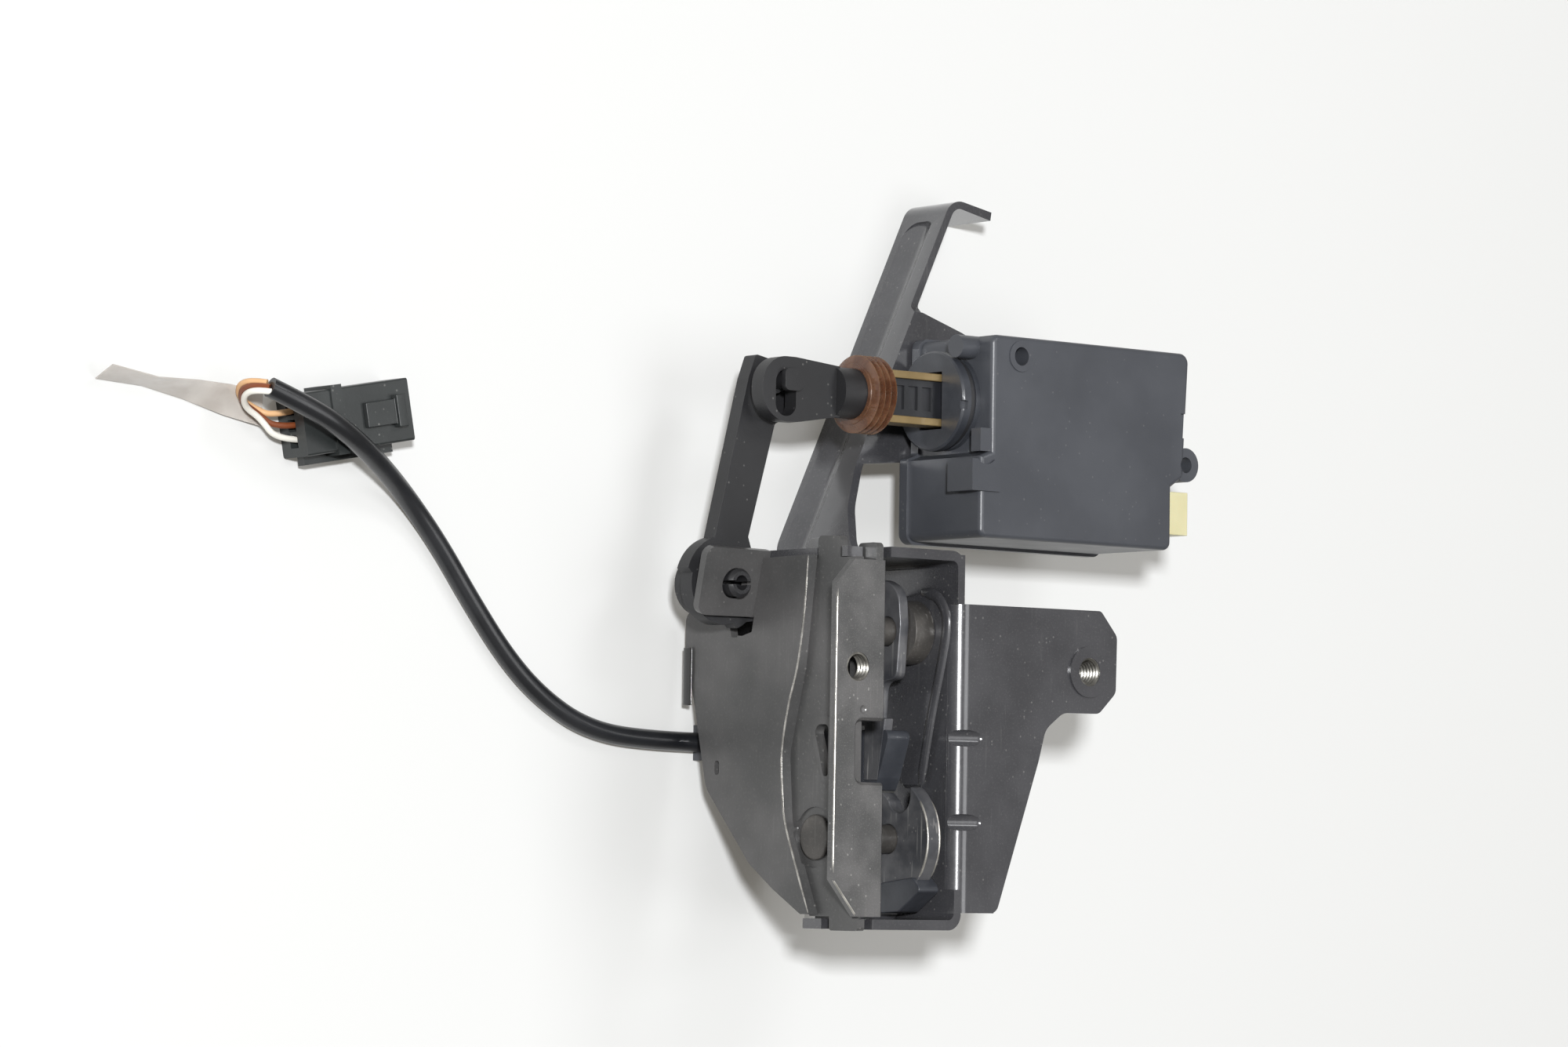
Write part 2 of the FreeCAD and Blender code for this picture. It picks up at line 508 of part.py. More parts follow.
# Plunger: eye, sleeve, bellows, rails and core, moving along X
EYE_HALF = 2.5
SLOT_X = (0.9, 8.2)
SLOT_Y = (70.9, 83.8)
RAIL_END = 118.0


def link():
    top, low, left = SLOT_Y[1] + 3.8, SLOT_Y[0] - 1.7, SLOT_X[0] - 4.7
    eye = slab_z([(left, top, 8.5), (8, top, 6), (24, AXIS_Y + 7.1), (24, AXIS_Y - 7.1), (10, low + 0.4, 8),
                  (left, low, 8.5)], AXIS_Z - EYE_HALF, AXIS_Z + EYE_HALF)
    slot = slab_z([(SLOT_X[0], SLOT_Y[0], 3.5), (SLOT_X[0], SLOT_Y[1], 3.5), (SLOT_X[1], SLOT_Y[1], 3.5),
                   (SLOT_X[1], SLOT_Y[0], 3.5)], AXIS_Z - 5, AXIS_Z + 5)
    sleeve = rod_x(AXIS_Y, AXIS_Z, 7.15, 22.5, 41.0)
    return eye.fuse(sleeve).cut(slot)


def bellows():
    solid = ring_x(AXIS_Y, AXIS_Z, 7.16, 8.6, 30.3, 38.6)
    for i in range(4):
        x = 30.6 + 2.1 * i
        disc = Part.makeCone(9.0, 11.15, 0.9, vec(x, AXIS_Y, AXIS_Z), X_AXIS)
        back = Part.makeCone(11.15, 9.0, 0.6, vec(x + 0.9, AXIS_Y, AXIS_Z), X_AXIS)
        solid = solid.fuse([disc, back])
    return solid.cut(rod_x(AXIS_Y, AXIS_Z, 7.16, 29, 40))


def rail(sign):
    y = AXIS_Y + sign * 6.4
    return box(41.0, RAIL_END, y - 1.1, y + 1.1, AXIS_Z - 4.2, AXIS_Z + 4.2)


def plunger_core():
    core = box(41.0, RAIL_END, AXIS_Y - 5.3, AXIS_Y + 5.3, AXIS_Z - 2.8, AXIS_Z + 2.8)
    for i in range(3):
        x = 44.0 + 5.0 * i
        core = core.cut(box(x, x + 3.4, AXIS_Y - 3.4, AXIS_Y + 3.4, AXIS_Z + 1.8, AXIS_Z + 4))
    return core


def rack_bar():
    line = PINION_AT[1] + PINION_R
    pitch = math.pi * RACK_MODULE
    lift = math.tan(math.radians(20))
    half = pitch / 4 - 0.06
    up, down = 1.25 * RACK_MODULE, 0.9 * RACK_MODULE
    points = [(PINION_AT[0] - 3.5 * pitch - 2, AXIS_Y + 5.2), (PINION_AT[0] - 3.5 * pitch - 2, line + up)]
    for i in range(-3, 10):
        x = PINION_AT[0] + (i - 0.5) * pitch
        points += [(x - half - up * lift, line + up), (x - half + down * lift, line - down),
                   (x + half - down * lift, line - down), (x + half + up * lift, line + up)]
    points += [(RAIL_END, line + up), (RAIL_END, AXIS_Y + 5.2)]
    return slab_z(points, AXIS_Z + 4.4, AXIS_Z + 8.4)


# Actuator: two shells, nose, motor and gear train
CASE_RIGHT = 143.2
CASE_STEP = 136.5
CASE_LOW = 39.5
CASE_HIGH = 97.5
CASE_CORNER = 2.4
CASE = [(62.5, CASE_LOW, CASE_CORNER), (CASE_STEP, CASE_LOW, CASE_CORNER), (CASE_STEP, 58), (CASE_STEP + 4.7, 61, 2),
        (CASE_RIGHT, CASE_HIGH, 3), (66.5, CASE_HIGH, CASE_CORNER), (66.5, 64.2), (62.5, 62.6)]


def inset(points, gap):
    """Outline moved inwards by a gap, for the hollow of a shell."""
    count = len(points)
    moved = []
    for i in range(count):
        here, before, after = points[i], points[i - 1], points[(i + 1) % count]
        a = vec(here[0] - before[0], here[1] - before[1], 0)
        b = vec(after[0] - here[0], after[1] - here[1], 0)
        a.normalize()
        b.normalize()
        na, nb = vec(-a.y, a.x, 0), vec(-b.y, b.x, 0)
        mean = na.add(nb)
        mean.normalize()
        shift = mean * (gap / mean.dot(na))
        radius = max(0.0, (here[2] if len(here) > 2 else 0.0) - gap)
        moved.append((here[0] + shift.x, here[1] + shift.y, radius))
    return moved


NOSE_WINDOW = (AXIS_Y - 8.6, AXIS_Y + 8.6, AXIS_Z - 5.2, AXIS_Z + 9.2)


def front_shell():
    shell = slab_z(CASE, CASE_SPLIT, CASE_FRONT)
    front_edges = [e for e in shell.Edges if e.BoundBox.ZMin > CASE_FRONT - 0.01]
    shell = shell.makeFillet(1.4, front_edges)
    shell = shell.cut(slab_z(inset(CASE, CASE_WALL), CASE_SPLIT - 1, CASE_FRONT - CASE_WALL))
    barrel = rod_x(94.2, -31.0, 3.3, 60.2, 80.0)
    block = box(58.6, 69.0, 52.6, 61.6, -32, CASE_FRONT + 0.9)
    block = block.cut(rod_z(63.8, 64.6, 4.4, -35, CASE_FRONT + 3))
    ledge = box(62.6, 67.0, 64.0, 70.6, -26.5, CASE_FRONT - 0.4)
    ear = rod_z(142.2, 64.8, 5.0, -28, CASE_FRONT - 0.3)
    shell = shell.fuse([barrel, block, ledge, ear])
    shell = shell.cut(slab_z(inset(CASE, CASE_WALL), CASE_SPLIT - 1, CASE_FRONT - CASE_WALL))
    for x, y in CASE_SCREWS:
        shell = shell.fuse(rod_z(x, y, 4.2, CASE_SPLIT, CASE_FRONT - 1))
    x, y = CASE_SCREWS[0]
    shell = shell.fuse(ring_z(x, y, 2.65, 4.4, CASE_FRONT - 1, CASE_FRONT + 0.5))
    shell = shell.cut(rod_z(x, y, 2.65, CASE_FRONT - 9, CASE_FRONT + 2))
    for x, y in CASE_SCREWS:
        shell = shell.cut(rod_z(x, y, 1.35, CASE_SPLIT - 1, CASE_SPLIT + 11))
    shell = shell.cut(rod_z(142.2, 64.8, 2.3, -32, -20))
    shell = shell.cut(box(CASE_RIGHT - 3.4, CASE_RIGHT + 1, 72.6, 79.8, CASE_FRONT - 1.4, CASE_FRONT + 1))
    shell = shell.cut(box(60.0, 70.0, NOSE_WINDOW[0], NOSE_WINDOW[1], NOSE_WINDOW[2], NOSE_WINDOW[3]))
    seat = ring_z(PINION_AT[0], PINION_AT[1], 1.55, 4.0, CASE_FRONT - 6.4, CASE_FRONT - 1)
    return shell.fuse(seat)


def rear_shell():
    outline = inset(CASE, -0.8)
    shell = slab_z(outline, CASE_REAR, CASE_SPLIT)
    rear_edges = [e for e in shell.Edges if e.BoundBox.ZMax < CASE_REAR + 0.01]
    shell = shell.makeFillet(1.2, rear_edges)
    shell = shell.cut(slab_z(inset(CASE, CASE_WALL), CASE_REAR + CASE_WALL, CASE_SPLIT + 1))
    for x, y in CASE_SCREWS:
        shell = shell.fuse(rod_z(x, y, 4.2, CASE_REAR + 1, CASE_SPLIT))
    for x, y in CASE_SCREWS:
        shell = shell.cut(rod_z(x, y, 1.8, CASE_REAR - 1, CASE_SPLIT + 1))
    for x, y in BRACKET_SCREWS:
        shell = shell.fuse(rod_z(x, y, 4.0, CASE_REAR + 1, CASE_REAR + 8))
        shell = shell.cut(rod_z(x, y, 1.5, CASE_REAR - 1, CASE_REAR + 7))
    post = rod_z(PINION_AT[0], PINION_AT[1], 1.5, CASE_REAR + 1, CASE_FRONT - 3.0)
    ribs = box(70, 92, 43.5, 45.0, CASE_REAR + 1, CASE_SPLIT)
    return shell.fuse([post, ribs])


def case_screw(x, y):
    head = rod_z(x, y, 3.2, CASE_REAR - 1.9, CASE_REAR)
    head = head.cut(box(x - 2.2, x + 2.2, y - 0.4, y + 0.4, CASE_REAR - 2.5, CASE_REAR - 1.0))
    return head.fuse(rod_z(x, y, 1.3, CASE_REAR - 0.5, CASE_SPLIT + 9))


def bracket_screw(x, y):
    seat = ARM_WEB - SHEET
    head = rod_z(x, y, 3.8, seat - 2.4, seat)
    head = head.cut(box(x - 2.6, x + 2.6, y - 0.5, y + 0.5, seat - 3, seat - 1.4))
    return head.fuse(rod_z(x, y, 1.5, seat - 0.5, CASE_REAR + 6))


def nose():
    front = rod_x(AXIS_Y, AXIS_Z, 14.35, 59.7, 62.7)
    front = front.makeChamfer(0.6, [e for e in front.Edges if e.BoundBox.XMax < 59.8])
    neck = rod_x(AXIS_Y, AXIS_Z, 12.2, 62.7, 66.5)
    bead = rod_x(AXIS_Y, AXIS_Z, 13.9, 64.9, 66.5)
    notch = box(59, 61.5, AXIS_Y - 3.0, AXIS_Y - 0.6, AXIS_Z + 12.9, AXIS_Z + 16)
    body = front.fuse([neck, bead]).cut(notch)
    body = body.cut(box(59, 68, AXIS_Y - 8.2, AXIS_Y + 8.2, AXIS_Z - 4.8, AXIS_Z + 4.8))
    body = body.cut(box(65.4, 70, 60, 100, -60, CASE_SPLIT + 0.3))
    return body.cut(rod_x(94.2, -31.0, 3.5, 58, 68))


def nose_seal():
    return ring_x(AXIS_Y, AXIS_Z, 12.22, 13.6, 62.75, 64.85).cut(rod_x(94.2, -31.0, 3.5, 58, 68))


ROTOR_DISTANCE = (WHEEL_TEETH + ROTOR_TEETH) * WHEEL_MODULE / 2
ROTOR_AT = (PINION_AT[0] + ROTOR_DISTANCE * math.cos(math.radians(ROTOR_ANGLE)),
            PINION_AT[1] + ROTOR_DISTANCE * math.sin(math.radians(ROTOR_ANGLE)))
GEAR_Z = (AXIS_Z + 4.6, AXIS_Z + 8.2)
WHEEL_Z = (AXIS_Z + 8.9, AXIS_Z + 12.0)


def gear_wheel():
    x, y = PINION_AT
    wheel = gear(WHEEL_TEETH, WHEEL_MODULE, x, y, WHEEL_Z[0], WHEEL_Z[1], ROTOR_ANGLE, 0.12)
    wheel = wheel.cut(ring_z(x, y, 7.5, 13.5, WHEEL_Z[0] + 1.0, WHEEL_Z[1] + 1))
    hub = rod_z(x, y, 4.4, GEAR_Z[0], WHEEL_Z[1])
    return wheel.fuse(hub).cut(rod_z(x, y, 1.5 + RUN, -60, -20))


def gear_pinion():
    x, y = PINION_AT
    teeth = int(2 * PINION_R / RACK_MODULE)
    pinion = gear(teeth, RACK_MODULE, x, y, GEAR_Z[0], GEAR_Z[1], 90.0, 0.12)
    return pinion.cut(rod_z(x, y, 4.4, -60, -20))


def rotor():
    x, y = ROTOR_AT
    first = ROTOR_ANGLE + 180 + 180 / ROTOR_TEETH
    pinion = gear(ROTOR_TEETH, WHEEL_MODULE, x, y, WHEEL_Z[0] - 0.2, WHEEL_Z[1] + 0.2, first, 0.12)
    shaft = rod_z(x, y, 1.0, AXIS_Z - 8.6, WHEEL_Z[1] + 1.0)
    return pinion.fuse(shaft)


def motor_can():
    x, y = ROTOR_AT
    low, high = CASE_REAR + CASE_WALL, WHEEL_Z[0] - 3.0
    can = rod_z(x, y, 11.4, low, high)
    can = can.makeChamfer(0.8, [e for e in can.Edges if e.BoundBox.ZMin > high - 0.01])
    can = can.fuse(rod_z(x, y, 3.6, high, high + 1.4))
    return can.cut(rod_z(x, y, 1.0 + RUN, low + 3.4, high + 3))


def actuator_socket():
    body = box(CASE_STEP, CASE_STEP + 7.3, 44.2, 56.8, -37.5, -23.0)
    return body.cut(box(CASE_STEP + 1.8, CASE_STEP + 9, 45.9, 55.1, -35.8, -24.7))


def contact_blade(i):
    y = 48.0 + 2.5 * i
    return box(CASE_STEP + 1.8, CASE_STEP + 5.9, y - 0.4, y + 0.4, -32.2, -29.6)


# Switch behind the catch, closing plate, and the strain relief of the cable
def switch_body():
    body = box(15.0, 25.0, -62.0, -42.0, -50.0, -38.0)
    body = body.cut(box(18.2, 21.8, -50.6, -46.4, -43.2, -37))
    return body.cut(rod_x(-58, -44, 1.2, 14, 26))


def switch_button():
    stem = box(18.5, 21.5, -50.3, -46.7, -41.6, -36.4)
    return stem.makeFillet(0.5, [e for e in stem.Edges if e.BoundBox.ZMin > -36.5])


def switch_bracket():
    foot = box(25.0, FRAME_IN, -62.0, -42.0, -50.0, -48.4)
    leg = box(FRAME_IN - 1.6, FRAME_IN, -62.0, -42.0, -48.4, -40.0)
    return foot.fuse(leg)


CLIP_X = (6.0, 14.0)
CABLE_Y = -19.6


def cable_clip():
    y, z = CABLE_Y, CABLE_Z
    block = box(CLIP_X[0], CLIP_X[1], y - 5, y + 5, FLOOR + 0.2, -66.0)
    web = box(CLIP_X[1] - 3, FRAME_IN, y - 5, y + 5, -69.5, -66.0)
    return block.fuse(web).cut(rod_x(y, z, CABLE_D / 2, CLIP_X[0] - 1, CLIP_X[0] + 6))


# Harness
CABLE_ROUTE = [(CLIP_X[0] + 6, CABLE_Y, CABLE_Z), (-15, CABLE_Y, CABLE_Z), (-35, -16.6, CABLE_Z),
               (-50, -8.6, CABLE_Z), (-62, 1.8, CABLE_Z), (-74.4, 17, CABLE_Z), (-85.3, 31.8, CABLE_Z),
               (-97.5, 44.0, -75.4), (-112.0, 51.8, -67.4), (-126.5, 58.6, -60.9), (-138.5, 64.2, -59.8),
               (-151.5, 69.2, -61.6)]
WIRE_ROUTE = [(-151.5, 69.2, -61.6), (-154.3, 69.9, -65.3), (-155.0, 68.9, -70.1), (-152.2, 66.0, -74.0),
              (-146.6, 63.3, -74.6)]
WIRE_GAP = 1.9
WIRE_NORMAL = (0.0, 0.7, -0.7)
HOLE_PITCH = 4.4
HOLE_Z = 6.0


def plug_point(x, y, z):
    """A point of the plug's own frame, where it lies."""
    turn = math.radians(PLUG_TURN)
    return (PLUG_AT[0] + x * math.cos(turn) - y * math.sin(turn),
            PLUG_AT[1] + x * math.sin(turn) + y * math.cos(turn), FLOOR + z)


def wire_route(i):
    shift = (i - 1) * WIRE_GAP
    route = [tuple(p + shift * n for p, n in zip(point, WIRE_NORMAL)) for point in WIRE_ROUTE]
    side = (i - 1) * HOLE_PITCH
    route.append(plug_point(-PLUG_SIZE[0] / 2 - 5.5, 0.75 * side, HOLE_Z + 0.3))
    route.append(plug_point(-PLUG_SIZE[0] / 2 + 5.9, side, HOLE_Z))
    return route


def plug_place(shape):
    """From the plug's own frame (centred, +X at its mating end) to where it lies."""
    shape.rotate(vec(0, 0, 0), Z_AXIS, PLUG_TURN)
    shape.translate(vec(PLUG_AT[0], PLUG_AT[1], FLOOR))
    return shape


def plug_housing():
    length, width, height = PLUG_SIZE
    body = box(-length / 2, length / 2, -width / 2, width / 2, 0, height)
    body = body.makeFillet(0.8, [e for e in body.Edges if e.BoundBox.XLength > length - 1])
    body = body.cut(box(length / 2 - 14, length / 2 + 1, -width / 2 + 1.6, width / 2 - 1.6, 1.6, height - 1.6))
    for i in range(3):
        y = (i - 1) * HOLE_PITCH
        body = body.cut(box(-length / 2 - 1, -length / 2 + 9, y - 1.6, y + 1.6, HOLE_Z - 1.8, HOLE_Z + 1.8))
    rib = box(-length / 2 + 9.5, -length / 2 + 13, -width / 2 - 0.9, width / 2 + 0.9, 0.0, height + 0.7)
    rib = rib.cut(box(-length / 2 + 5, -length / 2 + 20, -width / 2 + 0.5, width / 2 - 0.5, 0.5, height - 0.5))
    body = body.fuse(rib)
    body = body.fuse(box(-length / 2 + 2, length / 2 - 4, -width / 2 - 2.4, -width / 2 + 0.5, 3.5, 6.5))
    return plug_place(body)


def plug_lock():
    length, width, height = PLUG_SIZE
    tab = box(2, length / 2 - 3, -3.4, 3.4, height, height + 1.6)
    tab = tab.fuse(box(length / 2 - 6, length / 2 - 3, -4.4, 4.4, height, height + 2.6))
    return plug_place(tab)


def terminal(i):
    length = PLUG_SIZE[0]
    y = (i - 1) * HOLE_PITCH
    body = box(-length / 2 + 6, -length / 2 + 8.9, y - 1.4, y + 1.4, HOLE_Z - 1.5, HOLE_Z + 1.5)
    return plug_place(body)


FILM_STATIONS = [(-143.5, 64.8, 2, 2.0), (-155, 66.6, 30, 0.8), (-167, 68.4, 60, 0), (-180, 69.6, 80, 0),
                 (-194, 71.2, 70, 0)]


def label_film():
    """Plain flexible strip on the floor behind the wires, twisting up on its edge."""
    wires = []
    for x, y, turn, lift in FILM_STATIONS:
        rise = math.sin(math.radians(turn))
        run = math.cos(math.radians(turn))
        mid = vec(x, y, FLOOR + 0.4 + lift + 4.5 * rise)
        across = vec(0, run, rise) * 4.5
        through = vec(0, -rise, run) * 0.15
        corners = [mid - across - through, mid + across - through, mid + across + through, mid - across + through]
        wires.append(Part.makePolygon(corners + [corners[0]]))
    return Part.makeLoft(wires, True, True)


def main():
    save("frame_plate", frame_plate())
    save("cover_plate", cover_plate())
    save("front_strip", front_strip())
    save("catch_rivet", rivet(CATCH_PIVOT, PIN_R, 6.3, COVER_STEP - 0.6, COVER_STEP + 0.6))
    save("pawl_rivet", rivet(PAWL_PIVOT, PIN_R, PIN_R, COVER_STEP + BLIND, COVER_IN))
    save("rocker_rivet", rivet(ROCKER_PIVOT, 2.5, 2.5, COVER_OUT + BLIND, COVER_IN))
    save("catch_core", catch_core())
    save("catch_bumper", catch_bumper())
    save("catch_spring", coil_x(CATCH_PIVOT[0], CATCH_PIVOT[1], 5.6, 0.8, 12.0, 2.2, 3))
    save("pawl_core", pawl_core())
    save("pawl_tip", pawl_tip())
    save("pawl_spacer", pawl_spacer())
    save("pawl_spring", coil_x(PAWL_PIVOT[0], PAWL_PIVOT[1], 5.4, 0.7, 12.0, 2.0, 3))
    save("release_rocker", rocker())
    save("outer_lever", outer_lever())
    save("link_eye", link())
    save("bellows", bellows())
    save("rail_upper", rail(1))
    save("rail_lower", rail(-1))
    save("plunger_core", plunger_core())
    save("rack_bar", rack_bar())
    save("actuator_front_shell", front_shell())
    save("actuator_rear_shell", rear_shell())
    for i, (x, y) in enumerate(CASE_SCREWS):
        save("case_screw_%d" % (i + 1), case_screw(x, y))
    for i, (x, y) in enumerate(BRACKET_SCREWS):
        save("bracket_screw_%d" % (i + 1), bracket_screw(x, y))
    save("nose_collar", nose())
    save("nose_seal", nose_seal())
    save("gear_wheel", gear_wheel())
    save("gear_pinion", gear_pinion())
    save("motor_rotor", rotor())
    save("motor_can", motor_can())
    save("actuator_socket", actuator_socket())
    for i in range(3):
        save("contact_blade_%d" % (i + 1), contact_blade(i))
    save("switch_body", switch_body())
    save("switch_button", switch_button())
    save("switch_bracket", switch_bracket())
    save("cable_clip", cable_clip())
    save("cable_sleeve", routed_tube(CABLE_ROUTE, CABLE_D, "cable"))
    for i, colour in enumerate(("white", "brown", "tan")):
        save("wire_" + colour, routed_tube(wire_route(i), WIRE_D, colour + " wire"))
    save("plug_housing", plug_housing())
    save("plug_lock", plug_lock())
    for i in range(3):
        save("terminal_%d" % (i + 1), terminal(i))
    save("label_film", label_film())


main()
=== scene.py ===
import json
import logging
import math
from dataclasses import dataclass, field
from enum import Enum
from typing import Callable, Sequence

import bmesh
import bpy
import numpy as np
from mathutils import Matrix

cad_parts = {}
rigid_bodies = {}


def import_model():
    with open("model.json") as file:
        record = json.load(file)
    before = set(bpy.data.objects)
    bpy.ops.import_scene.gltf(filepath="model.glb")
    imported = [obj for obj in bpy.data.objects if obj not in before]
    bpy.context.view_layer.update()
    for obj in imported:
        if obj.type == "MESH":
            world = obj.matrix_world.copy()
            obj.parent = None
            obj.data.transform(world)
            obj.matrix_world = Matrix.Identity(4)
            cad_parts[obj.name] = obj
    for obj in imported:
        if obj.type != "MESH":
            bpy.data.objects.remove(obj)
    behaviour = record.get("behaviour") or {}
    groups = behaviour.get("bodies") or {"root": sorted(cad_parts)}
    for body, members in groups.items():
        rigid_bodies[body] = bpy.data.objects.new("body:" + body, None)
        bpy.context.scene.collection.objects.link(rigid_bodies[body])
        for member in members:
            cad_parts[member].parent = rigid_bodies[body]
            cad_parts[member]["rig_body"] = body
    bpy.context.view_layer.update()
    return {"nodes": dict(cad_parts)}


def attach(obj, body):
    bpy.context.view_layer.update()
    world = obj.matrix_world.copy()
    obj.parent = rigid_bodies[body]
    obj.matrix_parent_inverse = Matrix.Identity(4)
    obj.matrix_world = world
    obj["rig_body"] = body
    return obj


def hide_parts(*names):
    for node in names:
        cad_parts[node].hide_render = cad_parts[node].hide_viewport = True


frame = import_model()

log = logging.getLogger("tailgate_lock")

PHOTO_SIZE = (2000, 1335)
FLOOR_HEIGHT = -0.080
MILLIMETRE = 0.001

# Widths of the rounded edges, in metres
FOLDED_EDGE = 0.0005
PRESSED_EDGE = 0.0004
MOULDED_EDGE = 0.0003
FINE_EDGE = 0.0002

# How a copied solid is cleaned before its edges are rounded
MERGE_DISTANCE = 2e-6
FLAT_ANGLE = math.radians(0.6)
SHARP_ANGLE = math.radians(32)

Colour = tuple[float, float, float]
Point = tuple[float, float, float]


def millimetres(points: Sequence[Point]) -> np.ndarray:
    """Points given in millimetres, as an array in metres."""
    return np.asarray(points, dtype=float) * MILLIMETRE


def shade(red: int, green: int, blue: int) -> Colour:
    """Turns a screen colour into the linear values that a shader takes.

    Args:
        red: Red, 0 to 255, as seen on a screen.
        green: Green, 0 to 255.
        blue: Blue, 0 to 255.

    Returns:
        The three linear values.
    """
    screen = np.array([red, green, blue]) / 255.0
    linear = np.where(screen <= 0.04045, screen / 12.92, ((screen + 0.055) / 1.055) ** 2.4)
    return tuple(float(v) for v in linear)


# Surfaces

def unit(vectors: np.ndarray) -> np.ndarray:
    """Vectors scaled to length one along the last axis."""
    return vectors / np.linalg.norm(vectors, axis=-1, keepdims=True)


def grid_faces(rows: int, columns: int, round_rows: bool, round_columns: bool) -> np.ndarray:
    """Four-cornered faces of a grid of rows by columns points.

    Args:
        rows: Number of points along the first parameter.
        columns: Number of points along the second parameter.
        round_rows: Whether the last row joins the first.
        round_columns: Whether the last column joins the first.

    Returns:
        An array of point numbers, four for each face.
    """
    i, j = np.meshgrid(np.arange(rows - (not round_rows)), np.arange(columns - (not round_columns)),
                       indexing="ij")
    k, m = (i + 1) % rows, (j + 1) % columns
    corners = [i * columns + j, k * columns + j, k * columns + m, i * columns + m]
    return np.stack(corners, axis=-1).reshape(-1, 4)


def new_piece(name: str, points: np.ndarray, faces: Sequence[Sequence[int]], smooth: bool = True) -> bpy.types.Object:
    """Puts points and faces into a mesh object at the origin.

    Args:
        name: The piece's name.
        points: Its points, in metres, as rows of three.
        faces: Point numbers of each face.
        smooth: Whether the faces are shaded smooth.

    Returns:
        The new object, with its faces turned outwards.
    """
    mesh = bpy.data.meshes.new(name)
    mesh.from_pydata(points.reshape(-1, 3).tolist(), [], [list(map(int, f)) for f in faces])
    outward = bmesh.new()
    outward.from_mesh(mesh)
    bmesh.ops.remove_doubles(outward, verts=outward.verts, dist=1e-7)
    bmesh.ops.recalc_face_normals(outward, faces=outward.faces)
    outward.to_mesh(mesh)
    outward.free()
    mesh.polygons.foreach_set("use_smooth", [smooth] * len(mesh.polygons))
    piece = bpy.data.objects.new(name, mesh)
    bpy.context.scene.collection.objects.link(piece)
    return piece


def smooth_path(points: np.ndarray, samples: int) -> np.ndarray:
    """A rounded line through given points, by the Catmull-Rom formula.

    Each stretch from p1 to p2 is half of (2 p1 + (p2 - p0) t + (2 p0 - 5 p1 + 4 p2 - p3) t^2
    + (3 p1 - p0 - 3 p2 + p3) t^3), with t from 0 to 1.

    Args:
        points: The points, in metres.
        samples: Number of points on each stretch.

    Returns:
        The sampled line, as rows of three.
    """
    padded = np.vstack([2 * points[0] - points[1], points, 2 * points[-1] - points[-2]])
    t = np.linspace(0, 1, samples, endpoint=False)[None, :, None]
    p0, p1, p2, p3 = (padded[k:len(padded) - 3 + k, None, :] for k in range(4))
    line = 0.5 * (2 * p1 + (p2 - p0) * t + (2 * p0 - 5 * p1 + 4 * p2 - p3) * t ** 2
                  + (3 * p1 - p0 - 3 * p2 + p3) * t ** 3)
    return np.vstack([line.reshape(-1, 3), points[-1:]])


def bead(name: str, path: np.ndarray, up: np.ndarray, width: float, height: float,
         steps: int = 10) -> bpy.types.Object:
    """A raised rounded bead on a flat wall.

    Its section is x = width/2 * cos a, y = height * sin a, with a from a little below 0 to a little
    above pi, carried along the path and shrunk to nothing at both ends.

    Args:
        name: The piece's name.
        path: Points on the wall, in metres.
        up: The wall's outward direction.
        width: Width at the wall, in metres.
        height: Height over the wall, in metres.
        steps: Number of points over the section.

    Returns:
        The new object.
    """
    ahead = unit(np.gradient(path, axis=0))
    across = unit(np.cross(ahead, up))
    a = np.linspace(-0.25, math.pi + 0.25, steps)
    run = np.linspace(0, 1, len(path))
    fade = np.clip(np.minimum(run, 1 - run) * 12, 0, 1) ** 0.5
    half = width / 2 * (0.35 + 0.65 * fade)
    points = (path[:, None, :] + across[:, None, :] * (half[:, None] * np.cos(a))[..., None]
              + up * (height * fade[:, None] * np.sin(a))[..., None])
    return new_piece(name, points, grid_faces(len(path), steps, False, True))


def thread(name: str, centre: Point, radius: float, depth: float, pitch: float, low: float,
           high: float) -> bpy.types.Object:
    """The inner thread of a hole, as a lining whose inner wall rises and falls along a screw line.

    At angle t and height z the inner wall's radius is radius - depth * w, where w goes evenly from 0 to 1
    and back as z / pitch - t / (2 pi) grows by one.

    Args:
        name: The piece's name.
        centre: Centre of the hole, in metres.
        radius: Radius of the plain hole.
        depth: How far the ridge stands into the hole.
        pitch: Rise of the thread in one turn.
        low: Lowest height of the lining.
        high: Highest height of the lining.

    Returns:
        The new object.
    """
    turn = np.linspace(0, math.tau, 72, endpoint=False)[None, :]
    rows = max(12, int((high - low) / pitch * 10))
    height = np.linspace(low, high, rows)[:, None]
    phase = (height / pitch - turn / math.tau) % 1.0
    ridge = 1.0 - np.abs(2.0 * phase - 1.0)
    inner = radius - depth * np.clip(ridge * 1.25, 0, 1)
    outer = np.full_like(inner, radius + 0.00002)
    ring = np.vstack([inner, outer[::-1]])
    level = np.vstack([height, height[::-1]]) + 0 * turn
    points = np.stack([centre[0] + ring * np.cos(turn), centre[1] + ring * np.sin(turn), level], axis=-1)
    return new_piece(name, points, grid_faces(len(points), points.shape[1], True, True), smooth=False)


# Finishes

class Pattern(Enum):
    """How a surface was made, by the stretch of its grain along X, Y and Z."""

    PAINTED = (1.0, 1.0, 1.0)
    MOULDED = (0.8, 0.8, 0.8)
    DRAWN = (1.0, 0.12, 1.0)


def number_socket(group: bpy.types.NodeTree, name: str, into: bool, value: float = 0.0) -> None:
    """Adds a number to a node group's inputs or outputs.

    Args:
        group: The node group.
        name: The socket's name.
        into: Whether it is an input.
        value: An input's value when nothing is joined to it.
    """
    socket = group.interface.new_socket(name, in_out="INPUT" if into else "OUTPUT", socket_type="NodeSocketFloat")
    if into:
        socket.default_value = value


